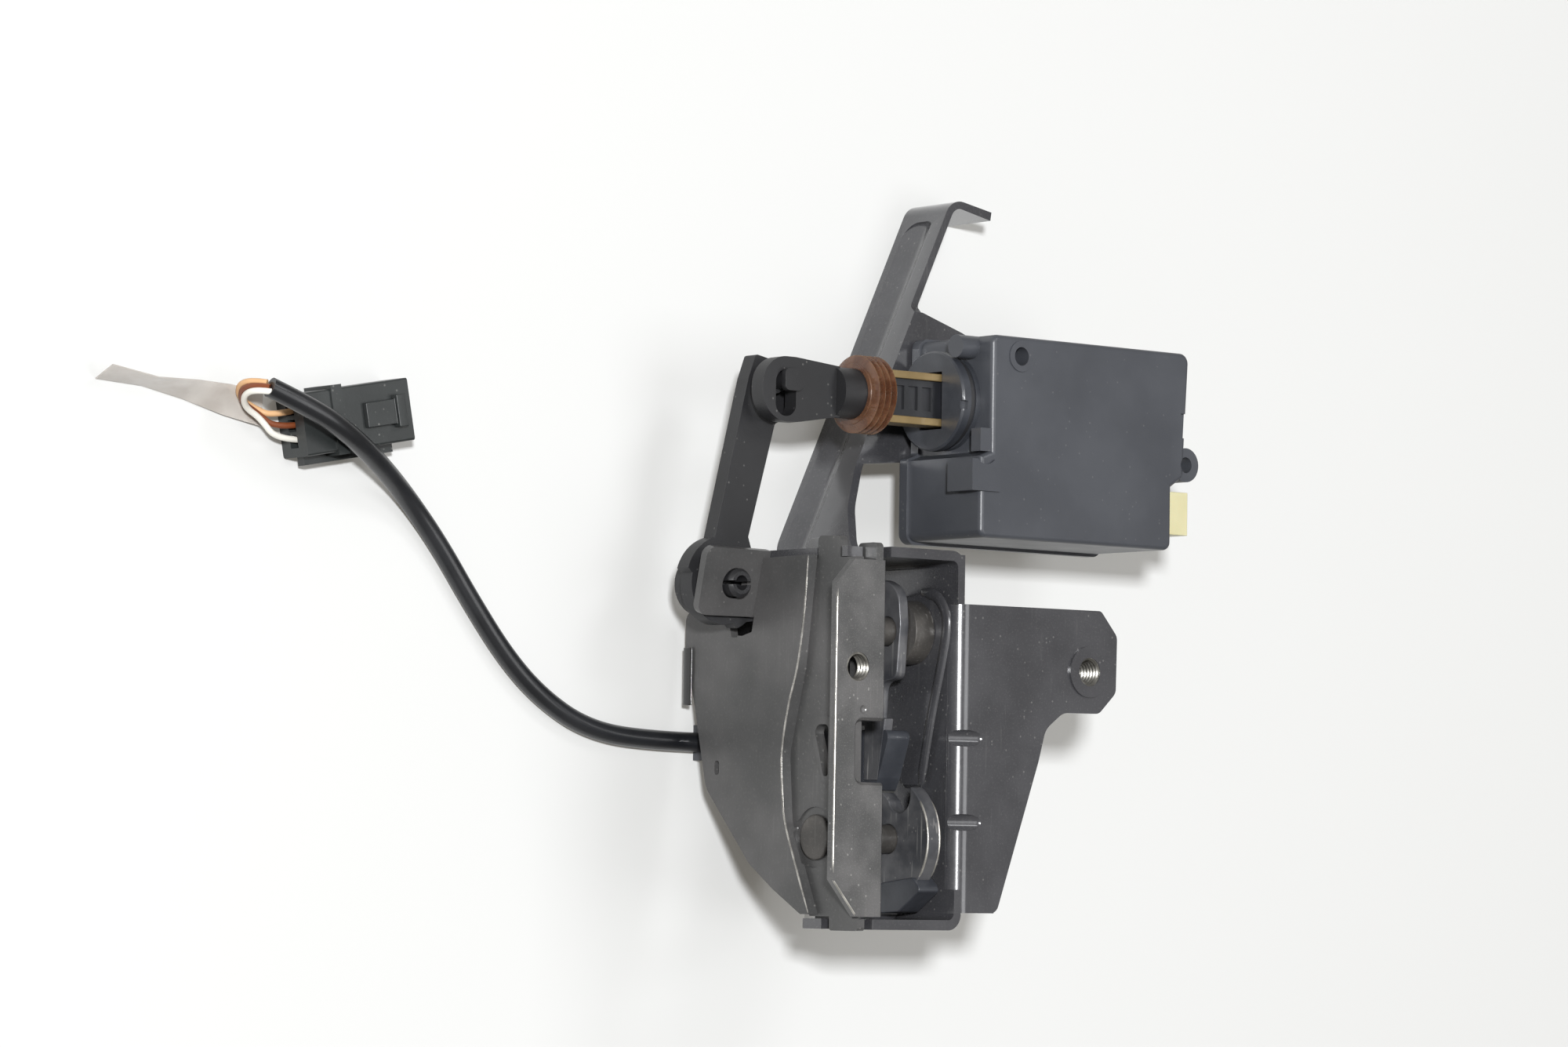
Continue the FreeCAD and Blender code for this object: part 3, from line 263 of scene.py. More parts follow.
class NodeLayer:
    """A node tree with short calls for adding and joining nodes."""

    def __init__(self, tree: bpy.types.NodeTree) -> None:
        """Keeps the tree that nodes are added to."""
        self.tree = tree

    def add(self, kind: str, **settings: object) -> bpy.types.Node:
        """Adds a node.

        Args:
            kind: The node's type name.
            **settings: Its properties.

        Returns:
            The new node.
        """
        node = self.tree.nodes.new(kind)
        for key, value in settings.items():
            setattr(node, key, value)
        return node

    def join(self, source: object, target: bpy.types.NodeSocket) -> None:
        """Joins an output to an input, or writes a plain value into the input.

        Args:
            source: An output socket or a plain value.
            target: The input that takes it.
        """
        if isinstance(source, bpy.types.NodeSocket):
            self.tree.links.new(source, target)
        else:
            target.default_value = source

    def maths(self, operation: str, *values: object, clamp: bool = False) -> bpy.types.NodeSocket:
        """Adds a Math node.

        Args:
            operation: The node's operation.
            *values: Sockets or numbers for its inputs.
            clamp: Whether the result is kept between 0 and 1.

        Returns:
            The node's output.
        """
        node = self.add("ShaderNodeMath", operation=operation, use_clamp=clamp)
        for value, socket in zip(values, node.inputs):
            self.join(value, socket)
        return node.outputs[0]

    def step(self, value: object, low: float, high: float) -> bpy.types.NodeSocket:
        """Goes smoothly from 0 to 1 while a value goes from low to high.

        Args:
            value: A socket.
            low: The value that gives 0.
            high: The value that gives 1.

        Returns:
            The eased output, 3 t^2 - 2 t^3 with t from 0 to 1.
        """
        node = self.add("ShaderNodeMapRange", clamp=True, interpolation_type="SMOOTHSTEP")
        self.join(value, node.inputs["Value"])
        node.inputs["From Min"].default_value = low
        node.inputs["From Max"].default_value = high
        return node.outputs["Result"]

    def blend(self, factor: object, first: object, second: object) -> bpy.types.NodeSocket:
        """Mixes two colours.

        Args:
            factor: A socket or a share of the second colour.
            first: A socket or a colour.
            second: A socket or a colour.

        Returns:
            The mixed colour's output.
        """
        node = self.add("ShaderNodeMix", data_type="RGBA")
        self.join(factor, node.inputs[0])
        for value, socket in ((first, node.inputs[6]), (second, node.inputs[7])):
            self.join(value if isinstance(value, bpy.types.NodeSocket) else (*value, 1.0), socket)
        return node.outputs[2]

    def noise(self, vector: object, scale: object, detail: float = 3.0, rough: float = 0.55) -> bpy.types.NodeSocket:
        """Adds a Noise Texture.

        Args:
            vector: The coordinates' socket.
            scale: A socket or a number.
            detail: Number of finer layers.
            rough: Strength of the finer layers.

        Returns:
            The noise value's output.
        """
        node = self.add("ShaderNodeTexNoise")
        self.join(vector, node.inputs["Vector"])
        self.join(scale, node.inputs["Scale"])
        node.inputs["Detail"].default_value = detail
        node.inputs["Roughness"].default_value = rough
        return node.outputs["Fac"]


def wear_group() -> bpy.types.NodeTree:
    """Scratches and specks that show pale on a dark surface.

    Returns:
        A group with Vector, Scratch and Speckle inputs and a Mask output.
    """
    group = bpy.data.node_groups.new("WornMarks", "ShaderNodeTree")
    group.interface.new_socket("Vector", in_out="INPUT", socket_type="NodeSocketVector")
    number_socket(group, "Scratch", True)
    number_socket(group, "Speckle", True)
    number_socket(group, "Mask", False)
    layer = NodeLayer(group)
    given = layer.add("NodeGroupInput").outputs
    out = layer.add("NodeGroupOutput")
    total: object = 0.0
    for turn, stretch, scale, low in ((0.5, 0.05, 900.0, 0.66), (-0.9, 0.04, 700.0, 0.68), (1.9, 0.07, 520.0, 0.69)):
        turned = layer.add("ShaderNodeMapping")
        layer.join(given["Vector"], turned.inputs["Vector"])
        turned.inputs["Rotation"].default_value = (0.3, turn * 0.4, turn)
        turned.inputs["Scale"].default_value = (1.0, stretch, 1.0)
        line = layer.step(layer.noise(turned.outputs[0], scale, 1.0), low, low + 0.04)
        total = layer.maths("MAXIMUM", total, line)
    patch = layer.step(layer.noise(given["Vector"], 55.0, 2.0), 0.42, 0.66)
    scratch = layer.maths("MULTIPLY", layer.maths("MULTIPLY", total, patch), given["Scratch"])
    cells = layer.add("ShaderNodeTexVoronoi", feature="F1")
    layer.join(given["Vector"], cells.inputs["Vector"])
    cells.inputs["Scale"].default_value = 760.0
    chosen = layer.add("ShaderNodeSeparateColor")
    layer.join(cells.outputs["Color"], chosen.inputs[0])
    crowd = layer.step(layer.noise(given["Vector"], 90.0, 2.0), 0.36, 0.7)
    chance = layer.maths("MULTIPLY_ADD", crowd, -0.12, 0.97)
    dots = layer.maths("MULTIPLY", layer.step(cells.outputs["Distance"], 0.30, 0.12),
                       layer.maths("GREATER_THAN", chosen.outputs[0], chance))
    speckle = layer.maths("MULTIPLY", dots, given["Speckle"])
    layer.join(layer.maths("MAXIMUM", scratch, speckle, clamp=True), out.inputs["Mask"])
    return group


def surface_group() -> bpy.types.NodeTree:
    """Cloudy tone, fine grain and uneven gloss, shared by all finishes.

    Returns:
        A group with Vector, Cloud Scale and Grain Scale inputs, and Cloud, Gloss and Grain outputs.
    """
    group = bpy.data.node_groups.new("SurfaceGrain", "ShaderNodeTree")
    group.interface.new_socket("Vector", in_out="INPUT", socket_type="NodeSocketVector")
    number_socket(group, "Cloud Scale", True, 40.0)
    number_socket(group, "Grain Scale", True, 900.0)
    for name in ("Cloud", "Gloss", "Grain"):
        number_socket(group, name, False)
    layer = NodeLayer(group)
    given = layer.add("NodeGroupInput").outputs
    out = layer.add("NodeGroupOutput")
    cloud = layer.step(layer.noise(given["Vector"], given["Cloud Scale"], 4.0), 0.34, 0.68)
    layer.join(cloud, out.inputs["Cloud"])
    layer.join(layer.noise(given["Vector"], layer.maths("MULTIPLY", given["Cloud Scale"], 2.7), 5.0, 0.65),
               out.inputs["Gloss"])
    layer.join(layer.noise(given["Vector"], given["Grain Scale"], 3.0, 0.7), out.inputs["Grain"])
    return group


@dataclass(frozen=True)
class Finish:
    """A material's look: its tones, gloss, grain and wear."""

    slot: str
    colour: Colour
    tint: Colour
    roughness: float
    gloss_spread: float = 0.16
    metallic: float = 0.0
    cloud_scale: float = 40.0
    grain_scale: float = 1100.0
    grain_depth: float = 0.00003
    scratch: float = 0.0
    speckle: float = 0.0
    mark: Colour = (0.42, 0.41, 0.39)
    coat: float = 0.0
    clear: float = 0.0
    glow: float = 0.0
    sparkle: float = 0.0
    pattern: Pattern = Pattern.PAINTED
    name: str = ""

    def material(self) -> bpy.types.Material:
        """The finish as a material, made on first use.

        Base colour goes from colour to tint with the cloud, and to mark where the grain or the wear shows.
        Roughness is its own number plus spread * (noise - 1/2).

        Returns:
            The material, shared by all pieces with this finish.
        """
        title = (self.name or self.slot) + "_finish"
        made = bpy.data.materials.get(title)
        if made is not None:
            return made
        material = bpy.data.materials.new(title)
        material.use_nodes = True
        layer = NodeLayer(material.node_tree)
        shader = material.node_tree.nodes["Principled BSDF"]
        place = layer.add("ShaderNodeTexCoord").outputs["Object"]
        stretched = layer.add("ShaderNodeMapping")
        layer.join(place, stretched.inputs["Vector"])
        stretched.inputs["Scale"].default_value = self.pattern.value
        surface = layer.add("ShaderNodeGroup", node_tree=bpy.data.node_groups.get("SurfaceGrain") or surface_group())
        layer.join(stretched.outputs[0], surface.inputs["Vector"])
        surface.inputs["Cloud Scale"].default_value = self.cloud_scale
        surface.inputs["Grain Scale"].default_value = self.grain_scale
        tone = layer.blend(surface.outputs["Cloud"], self.colour, self.tint)
        if self.sparkle:
            grain = layer.maths("MULTIPLY", layer.step(surface.outputs["Grain"], 0.52, 0.74), self.sparkle)
            tone = layer.blend(grain, tone, self.mark)
        gloss = layer.maths("MULTIPLY_ADD", surface.outputs["Gloss"], self.gloss_spread,
                            self.roughness - self.gloss_spread / 2, clamp=True)
        if self.scratch or self.speckle:
            marks = layer.add("ShaderNodeGroup", node_tree=bpy.data.node_groups.get("WornMarks") or wear_group())
            layer.join(place, marks.inputs["Vector"])
            marks.inputs["Scratch"].default_value = self.scratch
            marks.inputs["Speckle"].default_value = self.speckle
            tone = layer.blend(marks.outputs["Mask"], tone, self.mark)
        layer.join(tone, shader.inputs["Base Color"])
        layer.join(gloss, shader.inputs["Roughness"])
        bump = layer.add("ShaderNodeBump")
        bump.inputs["Distance"].default_value = self.grain_depth
        layer.join(surface.outputs["Grain"], bump.inputs["Height"])
        layer.join(bump.outputs["Normal"], shader.inputs["Normal"])
        shader.inputs["Metallic"].default_value = self.metallic
        shader.inputs["Coat Weight"].default_value = self.coat
        shader.inputs["Coat Roughness"].default_value = 0.15
        shader.inputs["Transmission Weight"].default_value = self.clear
        if self.glow:
            shader.inputs["Subsurface Weight"].default_value = self.glow
            shader.inputs["Subsurface Radius"].default_value = (0.003, 0.0016, 0.0008)
            shader.inputs["Subsurface Scale"].default_value = 1.0
        return material


FRAME_STEEL = Finish("frame_steel", shade(54, 54, 57), shade(66, 66, 69), 0.25, metallic=0.1, scratch=0.03,
                     speckle=0.18, grain_scale=1500.0, grain_depth=0.000016, coat=0.8, sparkle=0.06)
COVER_STEEL = Finish("cover_steel", shade(68, 68, 68), shade(86, 85, 85), 0.33, metallic=0.3, scratch=0.03,
                     speckle=0.22, cloud_scale=26.0, sparkle=0.06)
STRIP_STEEL = Finish("cover_steel", shade(73, 73, 73), shade(96, 95, 95), 0.32, metallic=0.3, scratch=0.05,
                     speckle=0.4, cloud_scale=60.0, grain_scale=2200.0, sparkle=0.2, name="strip_steel")
PIN_STEEL = Finish("pin_steel", shade(58, 56, 54), shade(76, 73, 70), 0.40, metallic=0.25, scratch=0.2,
                   cloud_scale=90.0, sparkle=0.08)
SCREW_STEEL = Finish("screw_steel", shade(120, 118, 112), shade(150, 147, 140), 0.3, metallic=0.9, scratch=0.3)
LATCH_STEEL = Finish("latch_steel", shade(64, 65, 69), shade(92, 92, 94), 0.34, metallic=0.3, scratch=0.5,
                     speckle=0.3, cloud_scale=120.0, grain_scale=1500.0)
THREAD_STEEL = Finish("latch_steel", shade(88, 86, 82), shade(132, 130, 124), 0.36, metallic=0.7, scratch=0.4,
                      cloud_scale=200.0, name="thread_steel")
# Pale steel: rubbed wear on the catch's rims, and painted highlight along the strip's arrises.
WEAR_AND_HIGHLIGHT_STEEL = Finish("latch_steel", shade(150, 148, 142), shade(196, 193, 186), 0.3, metallic=0.75, scratch=0.5,
                    cloud_scale=260.0, name="wear_and_highlight_steel")
# Pale paint for the bead along the cover's step: painted highlight.
STEP_HIGHLIGHT_PAINT = Finish("cover_steel", shade(120, 118, 114), shade(168, 165, 160), 0.26, metallic=0.5, scratch=0.4,
                     cloud_scale=420.0, sparkle=0.3, name="step_highlight_paint")
SPRING_STEEL = Finish("spring_steel", shade(50, 50, 50), shade(76, 75, 73), 0.35, metallic=0.5)
LEVER_PLASTIC = Finish("black_plastic", shade(26, 26, 28), shade(35, 35, 37), 0.50, speckle=0.15,
                       pattern=Pattern.MOULDED, name="lever_plastic")
NOSE_PLASTIC = Finish("black_plastic", shade(46, 48, 53), shade(58, 60, 65), 0.34, cloud_scale=120.0,
                      pattern=Pattern.MOULDED, name="nose_plastic")
CORE_PLASTIC = Finish("black_plastic", shade(24, 25, 28), shade(34, 35, 39), 0.42, name="core_plastic")
CLIP_PLASTIC = Finish("black_plastic", shade(10, 10, 11), shade(18, 18, 19), 0.12, coat=0.6, name="clip_plastic")
CASE_PLASTIC = Finish("black_plastic", shade(58, 60, 65), shade(66, 68, 73), 0.40, speckle=0.10,
                      pattern=Pattern.MOULDED)
PLUG_PLASTIC = Finish("black_plastic", shade(34, 37, 37), shade(46, 49, 49), 0.38, speckle=0.2, name="plug_plastic")
GREY_PLASTIC = Finish("grey_plastic", shade(40, 44, 50), shade(52, 56, 62), 0.5, pattern=Pattern.MOULDED)
RED_PLASTIC = Finish("red_plastic", shade(150, 40, 34), shade(165, 50, 42), 0.45)
BROWN_RUBBER = Finish("brown_rubber", shade(84, 54, 38), shade(112, 80, 60), 0.26, clear=0.2, glow=0.2,
                      cloud_scale=150.0)
BLACK_RUBBER = Finish("black_rubber", shade(30, 30, 32), shade(40, 40, 42), 0.6)
RAIL_BRASS = Finish("olive_rail", shade(112, 94, 62), shade(142, 122, 84), 0.36, metallic=0.35, scratch=0.3,
                    pattern=Pattern.DRAWN)
YELLOW_PLASTIC = Finish("yellow_plastic", shade(184, 178, 140), shade(194, 188, 152), 0.4, glow=0.15)
BRASS = Finish("contact_brass", shade(190, 160, 96), shade(205, 176, 112), 0.3, metallic=0.9)
JACKET = Finish("cable_jacket", shade(18, 19, 22), shade(30, 31, 34), 0.36, grain_scale=600.0, coat=0.2,
                gloss_spread=0.2)
WIRE_FINISHES = {
    "wire_white": Finish("wire_white", shade(222, 220, 212), shade(205, 200, 190), 0.36),
    "wire_brown": Finish("wire_brown", shade(118, 62, 34), shade(96, 48, 26), 0.36),
    "wire_tan": Finish("wire_tan", shade(206, 164, 120), shade(188, 146, 104), 0.36),
}
FILM = Finish("film", shade(222, 216, 210), shade(206, 199, 192), 0.22, clear=0.45, cloud_scale=90.0,
              grain_depth=0.00006, grain_scale=200.0, coat=0.4)


# Pieces taken from the solids

def dress(piece: bpy.types.Object, finish: Finish) -> None:
    """Gives a piece or a node one finish.

    Args:
        piece: The object to dress.
        finish: Its finish.
    """
    piece.data.materials.clear()
    piece.data.materials.append(finish.material())


def add_piece(piece: bpy.types.Object, body: str, finish: Finish) -> bpy.types.Object:
    """Dresses a new piece and lets it ride on a body.

    Args:
        piece: The new object.
        body: The name of the body that carries it.
        finish: Its finish.

    Returns:
        The same object.
    """
    if piece.type == "MESH" or piece.type == "CURVE":
        piece.data.materials.append(finish.material())
    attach(piece, body)
    log.info("piece %s on %s", piece.name, body)
    return piece


def softened(node: str, finish: Finish, edge: float,
             reshape: Callable[[np.ndarray], np.ndarray] | None = None) -> bpy.types.Object:
    """A copy of a solid with rounded edges, which stands for its node.

    The copy's loose triangles are merged, flat groups of them become one face, and every edge sharper
    than 32 degrees is rounded to the given width.

    Args:
        node: The node that is copied.
        finish: The finish of the copy.
        edge: Width of the rounding, in metres.
        reshape: What moves the points first, if anything does.

    Returns:
        The new object.
    """
    source = frame["nodes"][node]
    mesh = source.data.copy()
    mesh.name = node + "_shape"
    work = bmesh.new()
    work.from_mesh(mesh)
    bmesh.ops.remove_doubles(work, verts=work.verts, dist=MERGE_DISTANCE)
    bmesh.ops.dissolve_limit(work, angle_limit=FLAT_ANGLE, verts=work.verts, edges=work.edges)
    bmesh.ops.recalc_face_normals(work, faces=work.faces)
    work.to_mesh(mesh)
    work.free()
    if reshape is not None:
        points = np.empty(len(mesh.vertices) * 3)
        mesh.vertices.foreach_get("co", points)
        mesh.vertices.foreach_set("co", reshape(points.reshape(-1, 3)).ravel())
    mesh.materials.clear()
    mesh.shade_smooth()
    piece = bpy.data.objects.new(node + "_shape", mesh)
    bpy.context.scene.collection.objects.link(piece)
    rounding = piece.modifiers.new("Rounding", "BEVEL")
    rounding.width = edge
    rounding.segments = 2
    rounding.limit_method = "ANGLE"
    rounding.angle_limit = SHARP_ANGLE
    rounding.harden_normals = False
    rounding.use_clamp_overlap = True
    steady = piece.modifiers.new("Normals", "WEIGHTED_NORMAL")
    steady.keep_sharp = True
    add_piece(piece, source["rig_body"], finish)
    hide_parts(node)
    return piece


# Camera, floor and light

@dataclass
class PhotoCamera:
    """The photograph's own camera, found from the vanishing points of the lock's edges."""

    focal: float = 6700.0
    across_vanishing: tuple[float, float] = (9300.0, 1256.0)
    facing_vanishing: tuple[float, float] = (-4424.0, 1046.0)
    location: Point = (-0.9118, -0.05956, 1.09504)

    def axes(self) -> Matrix:
        """The camera's turn.

        The lock's X axis points at the first vanishing point and its Z axis away from the second;
        Z is squared to X, and Y is their cross product. Those three, seen from the camera, are the
        columns whose transpose is the camera's turn.

        Returns:
            The rotation, as a 3 by 3 matrix.
        """
        centre = np.array(PHOTO_SIZE) / 2
        view = [np.array([p[0] - centre[0], centre[1] - p[1], -self.focal])
                for p in (self.across_vanishing, self.facing_vanishing)]
        x_axis = unit(view[0])
        z_axis = -view[1]
        z_axis = unit(z_axis - (z_axis @ x_axis) * x_axis)
        y_axis = np.cross(z_axis, x_axis)
        return Matrix(np.array([x_axis, y_axis, z_axis]).tolist())

    def build(self) -> None:
        """Makes the camera and gives it to the scene."""
        data = bpy.data.cameras.new("photo_camera")
        data.sensor_width = 36.0
        data.lens = self.focal / PHOTO_SIZE[0] * data.sensor_width
        data.clip_start, data.clip_end = 0.01, 20.0
        camera = bpy.data.objects.new("photo_camera", data)
        camera.matrix_world = Matrix.Translation(self.location) @ self.axes().to_4x4()
        bpy.context.scene.collection.objects.link(camera)
        bpy.context.scene.camera = camera


@dataclass
class Studio:
    """A white table under soft light."""

    floor_colour: Colour = (0.595, 0.60, 0.60)
    seen_colour: Colour = (0.96, 0.90, 0.78)
    shadow_depth: float = 0.90
    world_strength: float = 0.22
    floor_size: float = 6.0
    lamps: list[tuple[str, Point, float, float]] = field(default_factory=lambda: [
        ("flash_lamp", (-1.70, 0.26, 2.36), 0.20, 118.0),
        ("key_lamp", (0.40, 0.80, 1.20), 0.40, 4.0),
        ("fill_lamp", (-1.2, -0.9, 1.2), 1.2, 1.0),
        ("top_lamp", (0.5, -0.1, 1.5), 0.8, 7.0),
    ])
    top_length: float = 0.9

    def floor(self) -> None:
        """A flat pale floor.

        Where the camera or a mirror sees it, part of its light is its own, so that it reads as white
        and still keeps the lock's shadow.
        """
        half = self.floor_size / 2
        corners = np.array([(-half, -half, FLOOR_HEIGHT), (half, -half, FLOOR_HEIGHT),
                            (half, half, FLOOR_HEIGHT), (-half, half, FLOOR_HEIGHT)])
        floor = new_piece("floor", corners, [(0, 1, 2, 3)], smooth=False)
        material = bpy.data.materials.new("floor_paper")
        material.use_nodes = True
        layer = NodeLayer(material.node_tree)
        shader = material.node_tree.nodes["Principled BSDF"]
        cloud = layer.noise(layer.add("ShaderNodeTexCoord").outputs["Object"], 5.0, 2.0)
        tone = layer.blend(cloud, self.floor_colour, tuple(c * 0.985 for c in self.floor_colour))
        layer.join(tone, shader.inputs["Base Color"])
        shader.inputs["Roughness"].default_value = 0.8
        shader.inputs["Specular IOR Level"].default_value = 0.1
        glow = layer.add("ShaderNodeEmission")
        glow.inputs["Color"].default_value = (*self.seen_colour, 1.0)
        path = layer.add("ShaderNodeLightPath").outputs
        seen = layer.maths("MAXIMUM", path["Is Camera Ray"],
                           layer.maths("MAXIMUM", path["Is Glossy Ray"], path["Is Transmission Ray"]))
        share = layer.maths("MULTIPLY", seen, 1.0 - self.shadow_depth)
        mix = layer.add("ShaderNodeMixShader")
        layer.join(share, mix.inputs[0])
        layer.join(shader.outputs[0], mix.inputs[1])
        layer.join(glow.outputs[0], mix.inputs[2])
        layer.join(mix.outputs[0], material.node_tree.nodes["Material Output"].inputs["Surface"])
        floor.data.materials.append(material)

    def light(self) -> None:
        """The world's even light and the soft lamps aimed at the lock."""
        scene = bpy.context.scene
        world = bpy.data.worlds.new("studio")
        world.use_nodes = True
        background = world.node_tree.nodes["Background"]
        background.inputs["Color"].default_value = (1.0, 0.95, 0.87, 1.0)
        background.inputs["Strength"].default_value = self.world_strength
        scene.world = world
        aim = np.array([0.0, 0.02, -0.04])
        for name, place, size, power in self.lamps:
            data = bpy.data.lights.new(name, "AREA")
            data.shape = "RECTANGLE"
            data.size = size
            data.size_y = self.top_length if name == "top_lamp" else size
            data.energy = power
            data.color = (0.98, 0.99, 1.0)
            lamp = bpy.data.objects.new(name, data)
            back = unit(np.array(place) - aim)
            side = unit(np.cross((0.0, 1.0, 0.1), back))
            turn = Matrix(np.array([side, np.cross(back, side), back]).T.tolist())
            lamp.matrix_world = Matrix.Translation(place) @ turn.to_4x4()
            scene.collection.objects.link(lamp)
        scene.view_settings.view_transform = "Standard"

    def build(self) -> None:
        """Makes the floor and the light."""
        self.floor()
        self.light()


# The lock

@dataclass
class Harness:
    """The cable, its three wires, the plug and the strip of film."""

    cable_diameter: float = 0.0056
    cable_length: float = 0.1976
    wire_diameter: float = 0.0017
    wire_pitch: float = 1.9
    plug_at: tuple[float, float] = (-119.0, 64.0)
    plug_length: float = 35.0
    plug_turn: float = 11.0
    hole_pitch: float = 4.4
    hole_height: float = 6.0
    cable_route: tuple[Point, ...] = (
        (12, -19.6, -77.1), (-15, -19.6, -77.1), (-35, -16.6, -77.1), (-50, -8.6, -77.1), (-62, 1.8, -77.1),
        (-74.4, 17, -77.1), (-85.3, 31.8, -77.1), (-97.5, 44.0, -75.4), (-112.0, 51.8, -67.4),
        (-126.5, 58.6, -60.9), (-138.5, 64.2, -59.8), (-151.5, 69.2, -61.6))
    wire_route: tuple[Point, ...] = (
        (-151.5, 69.2, -61.6), (-154.3, 69.9, -65.3), (-155.0, 68.9, -70.1), (-152.2, 66.0, -74.0),
        (-146.6, 63.3, -74.6))
    wire_lengths: tuple[float, ...] = (0.0398, 0.0382, 0.0372)

    def curve(self, name: str, route: Sequence[Point], diameter: float) -> bpy.types.Object:
        """A smooth round cord along a route.

        Args:
            name: The piece's name.
            route: Control points of its one spline, in millimetres.
            diameter: The cord's diameter, in metres.

        Returns:
            The new curve object.
        """
        data = bpy.data.curves.new(name, "CURVE")
        data.dimensions = "3D"
        spline = data.splines.new("NURBS")
        spline.points.add(len(route) - 1)
        flat = np.hstack([millimetres(route), np.ones((len(route), 1))])
        spline.points.foreach_set("co", flat.ravel())
        spline.order_u = 3
        spline.use_endpoint_u = True
        spline.resolution_u = 12
        data.bevel_depth = diameter / 2
        data.bevel_resolution = 6
        data.use_fill_caps = True
        cord = bpy.data.objects.new(name, data)
        bpy.context.scene.collection.objects.link(cord)
        return cord

    def plug_point(self, x: float, y: float, z: float) -> Point:
        """Turns a point of the plug's own frame into the lock's frame.

        Args:
            x: Along the plug, in millimetres.
            y: Across it.
            z: Its height over the floor.

        Returns:
            at + (x cos t - y sin t, x sin t + y cos t), with the height, in millimetres.
        """
        turn = math.radians(self.plug_turn)
        return (self.plug_at[0] + x * math.cos(turn) - y * math.sin(turn),
                self.plug_at[1] + x * math.sin(turn) + y * math.cos(turn), FLOOR_HEIGHT / MILLIMETRE + z)

    def one_wire_route(self, i: int) -> list[Point]:
        """Control points of one wire, set off from its neighbour along the loop's own axis.

        Args:
            i: The wire's number, 0 to 2.

        Returns:
            The points, in millimetres, from the sleeve's end into the plug.
        """
        shift = (i - 1) * self.wire_pitch
        route = [(x, y + 0.7 * shift, z - 0.7 * shift) for x, y, z in self.wire_route]
        side = (i - 1) * self.hole_pitch
        route.append(self.plug_point(-self.plug_length / 2 - 5.5, 0.75 * side, self.hole_height + 0.3))
        route.append(self.plug_point(-self.plug_length / 2 + 5.9, side, self.hole_height))
        return route

    def cords(self) -> None:
        """The cable and its wires, as round curves."""
        cable = self.curve("cable", self.cable_route, self.cable_diameter)
        add_piece(cable, "housing", JACKET)
        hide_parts("cable_sleeve")
        for i, (name, finish) in enumerate(WIRE_FINISHES.items()):
            route = self.one_wire_route(i)
            wire = self.curve(name + "_lead", route, self.wire_diameter)
            add_piece(wire, "housing", finish)
            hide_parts(name)

    def build(self) -> None:
        """Dresses the plug, the film and the crimped terminals."""
        nodes = frame["nodes"]
        softened("plug_housing", PLUG_PLASTIC, MOULDED_EDGE)
        softened("plug_lock", PLUG_PLASTIC, MOULDED_EDGE)
        dress(nodes["label_film"], FILM)
        for i in (1, 2, 3):
            dress(nodes[f"terminal_{i}"], BRASS)


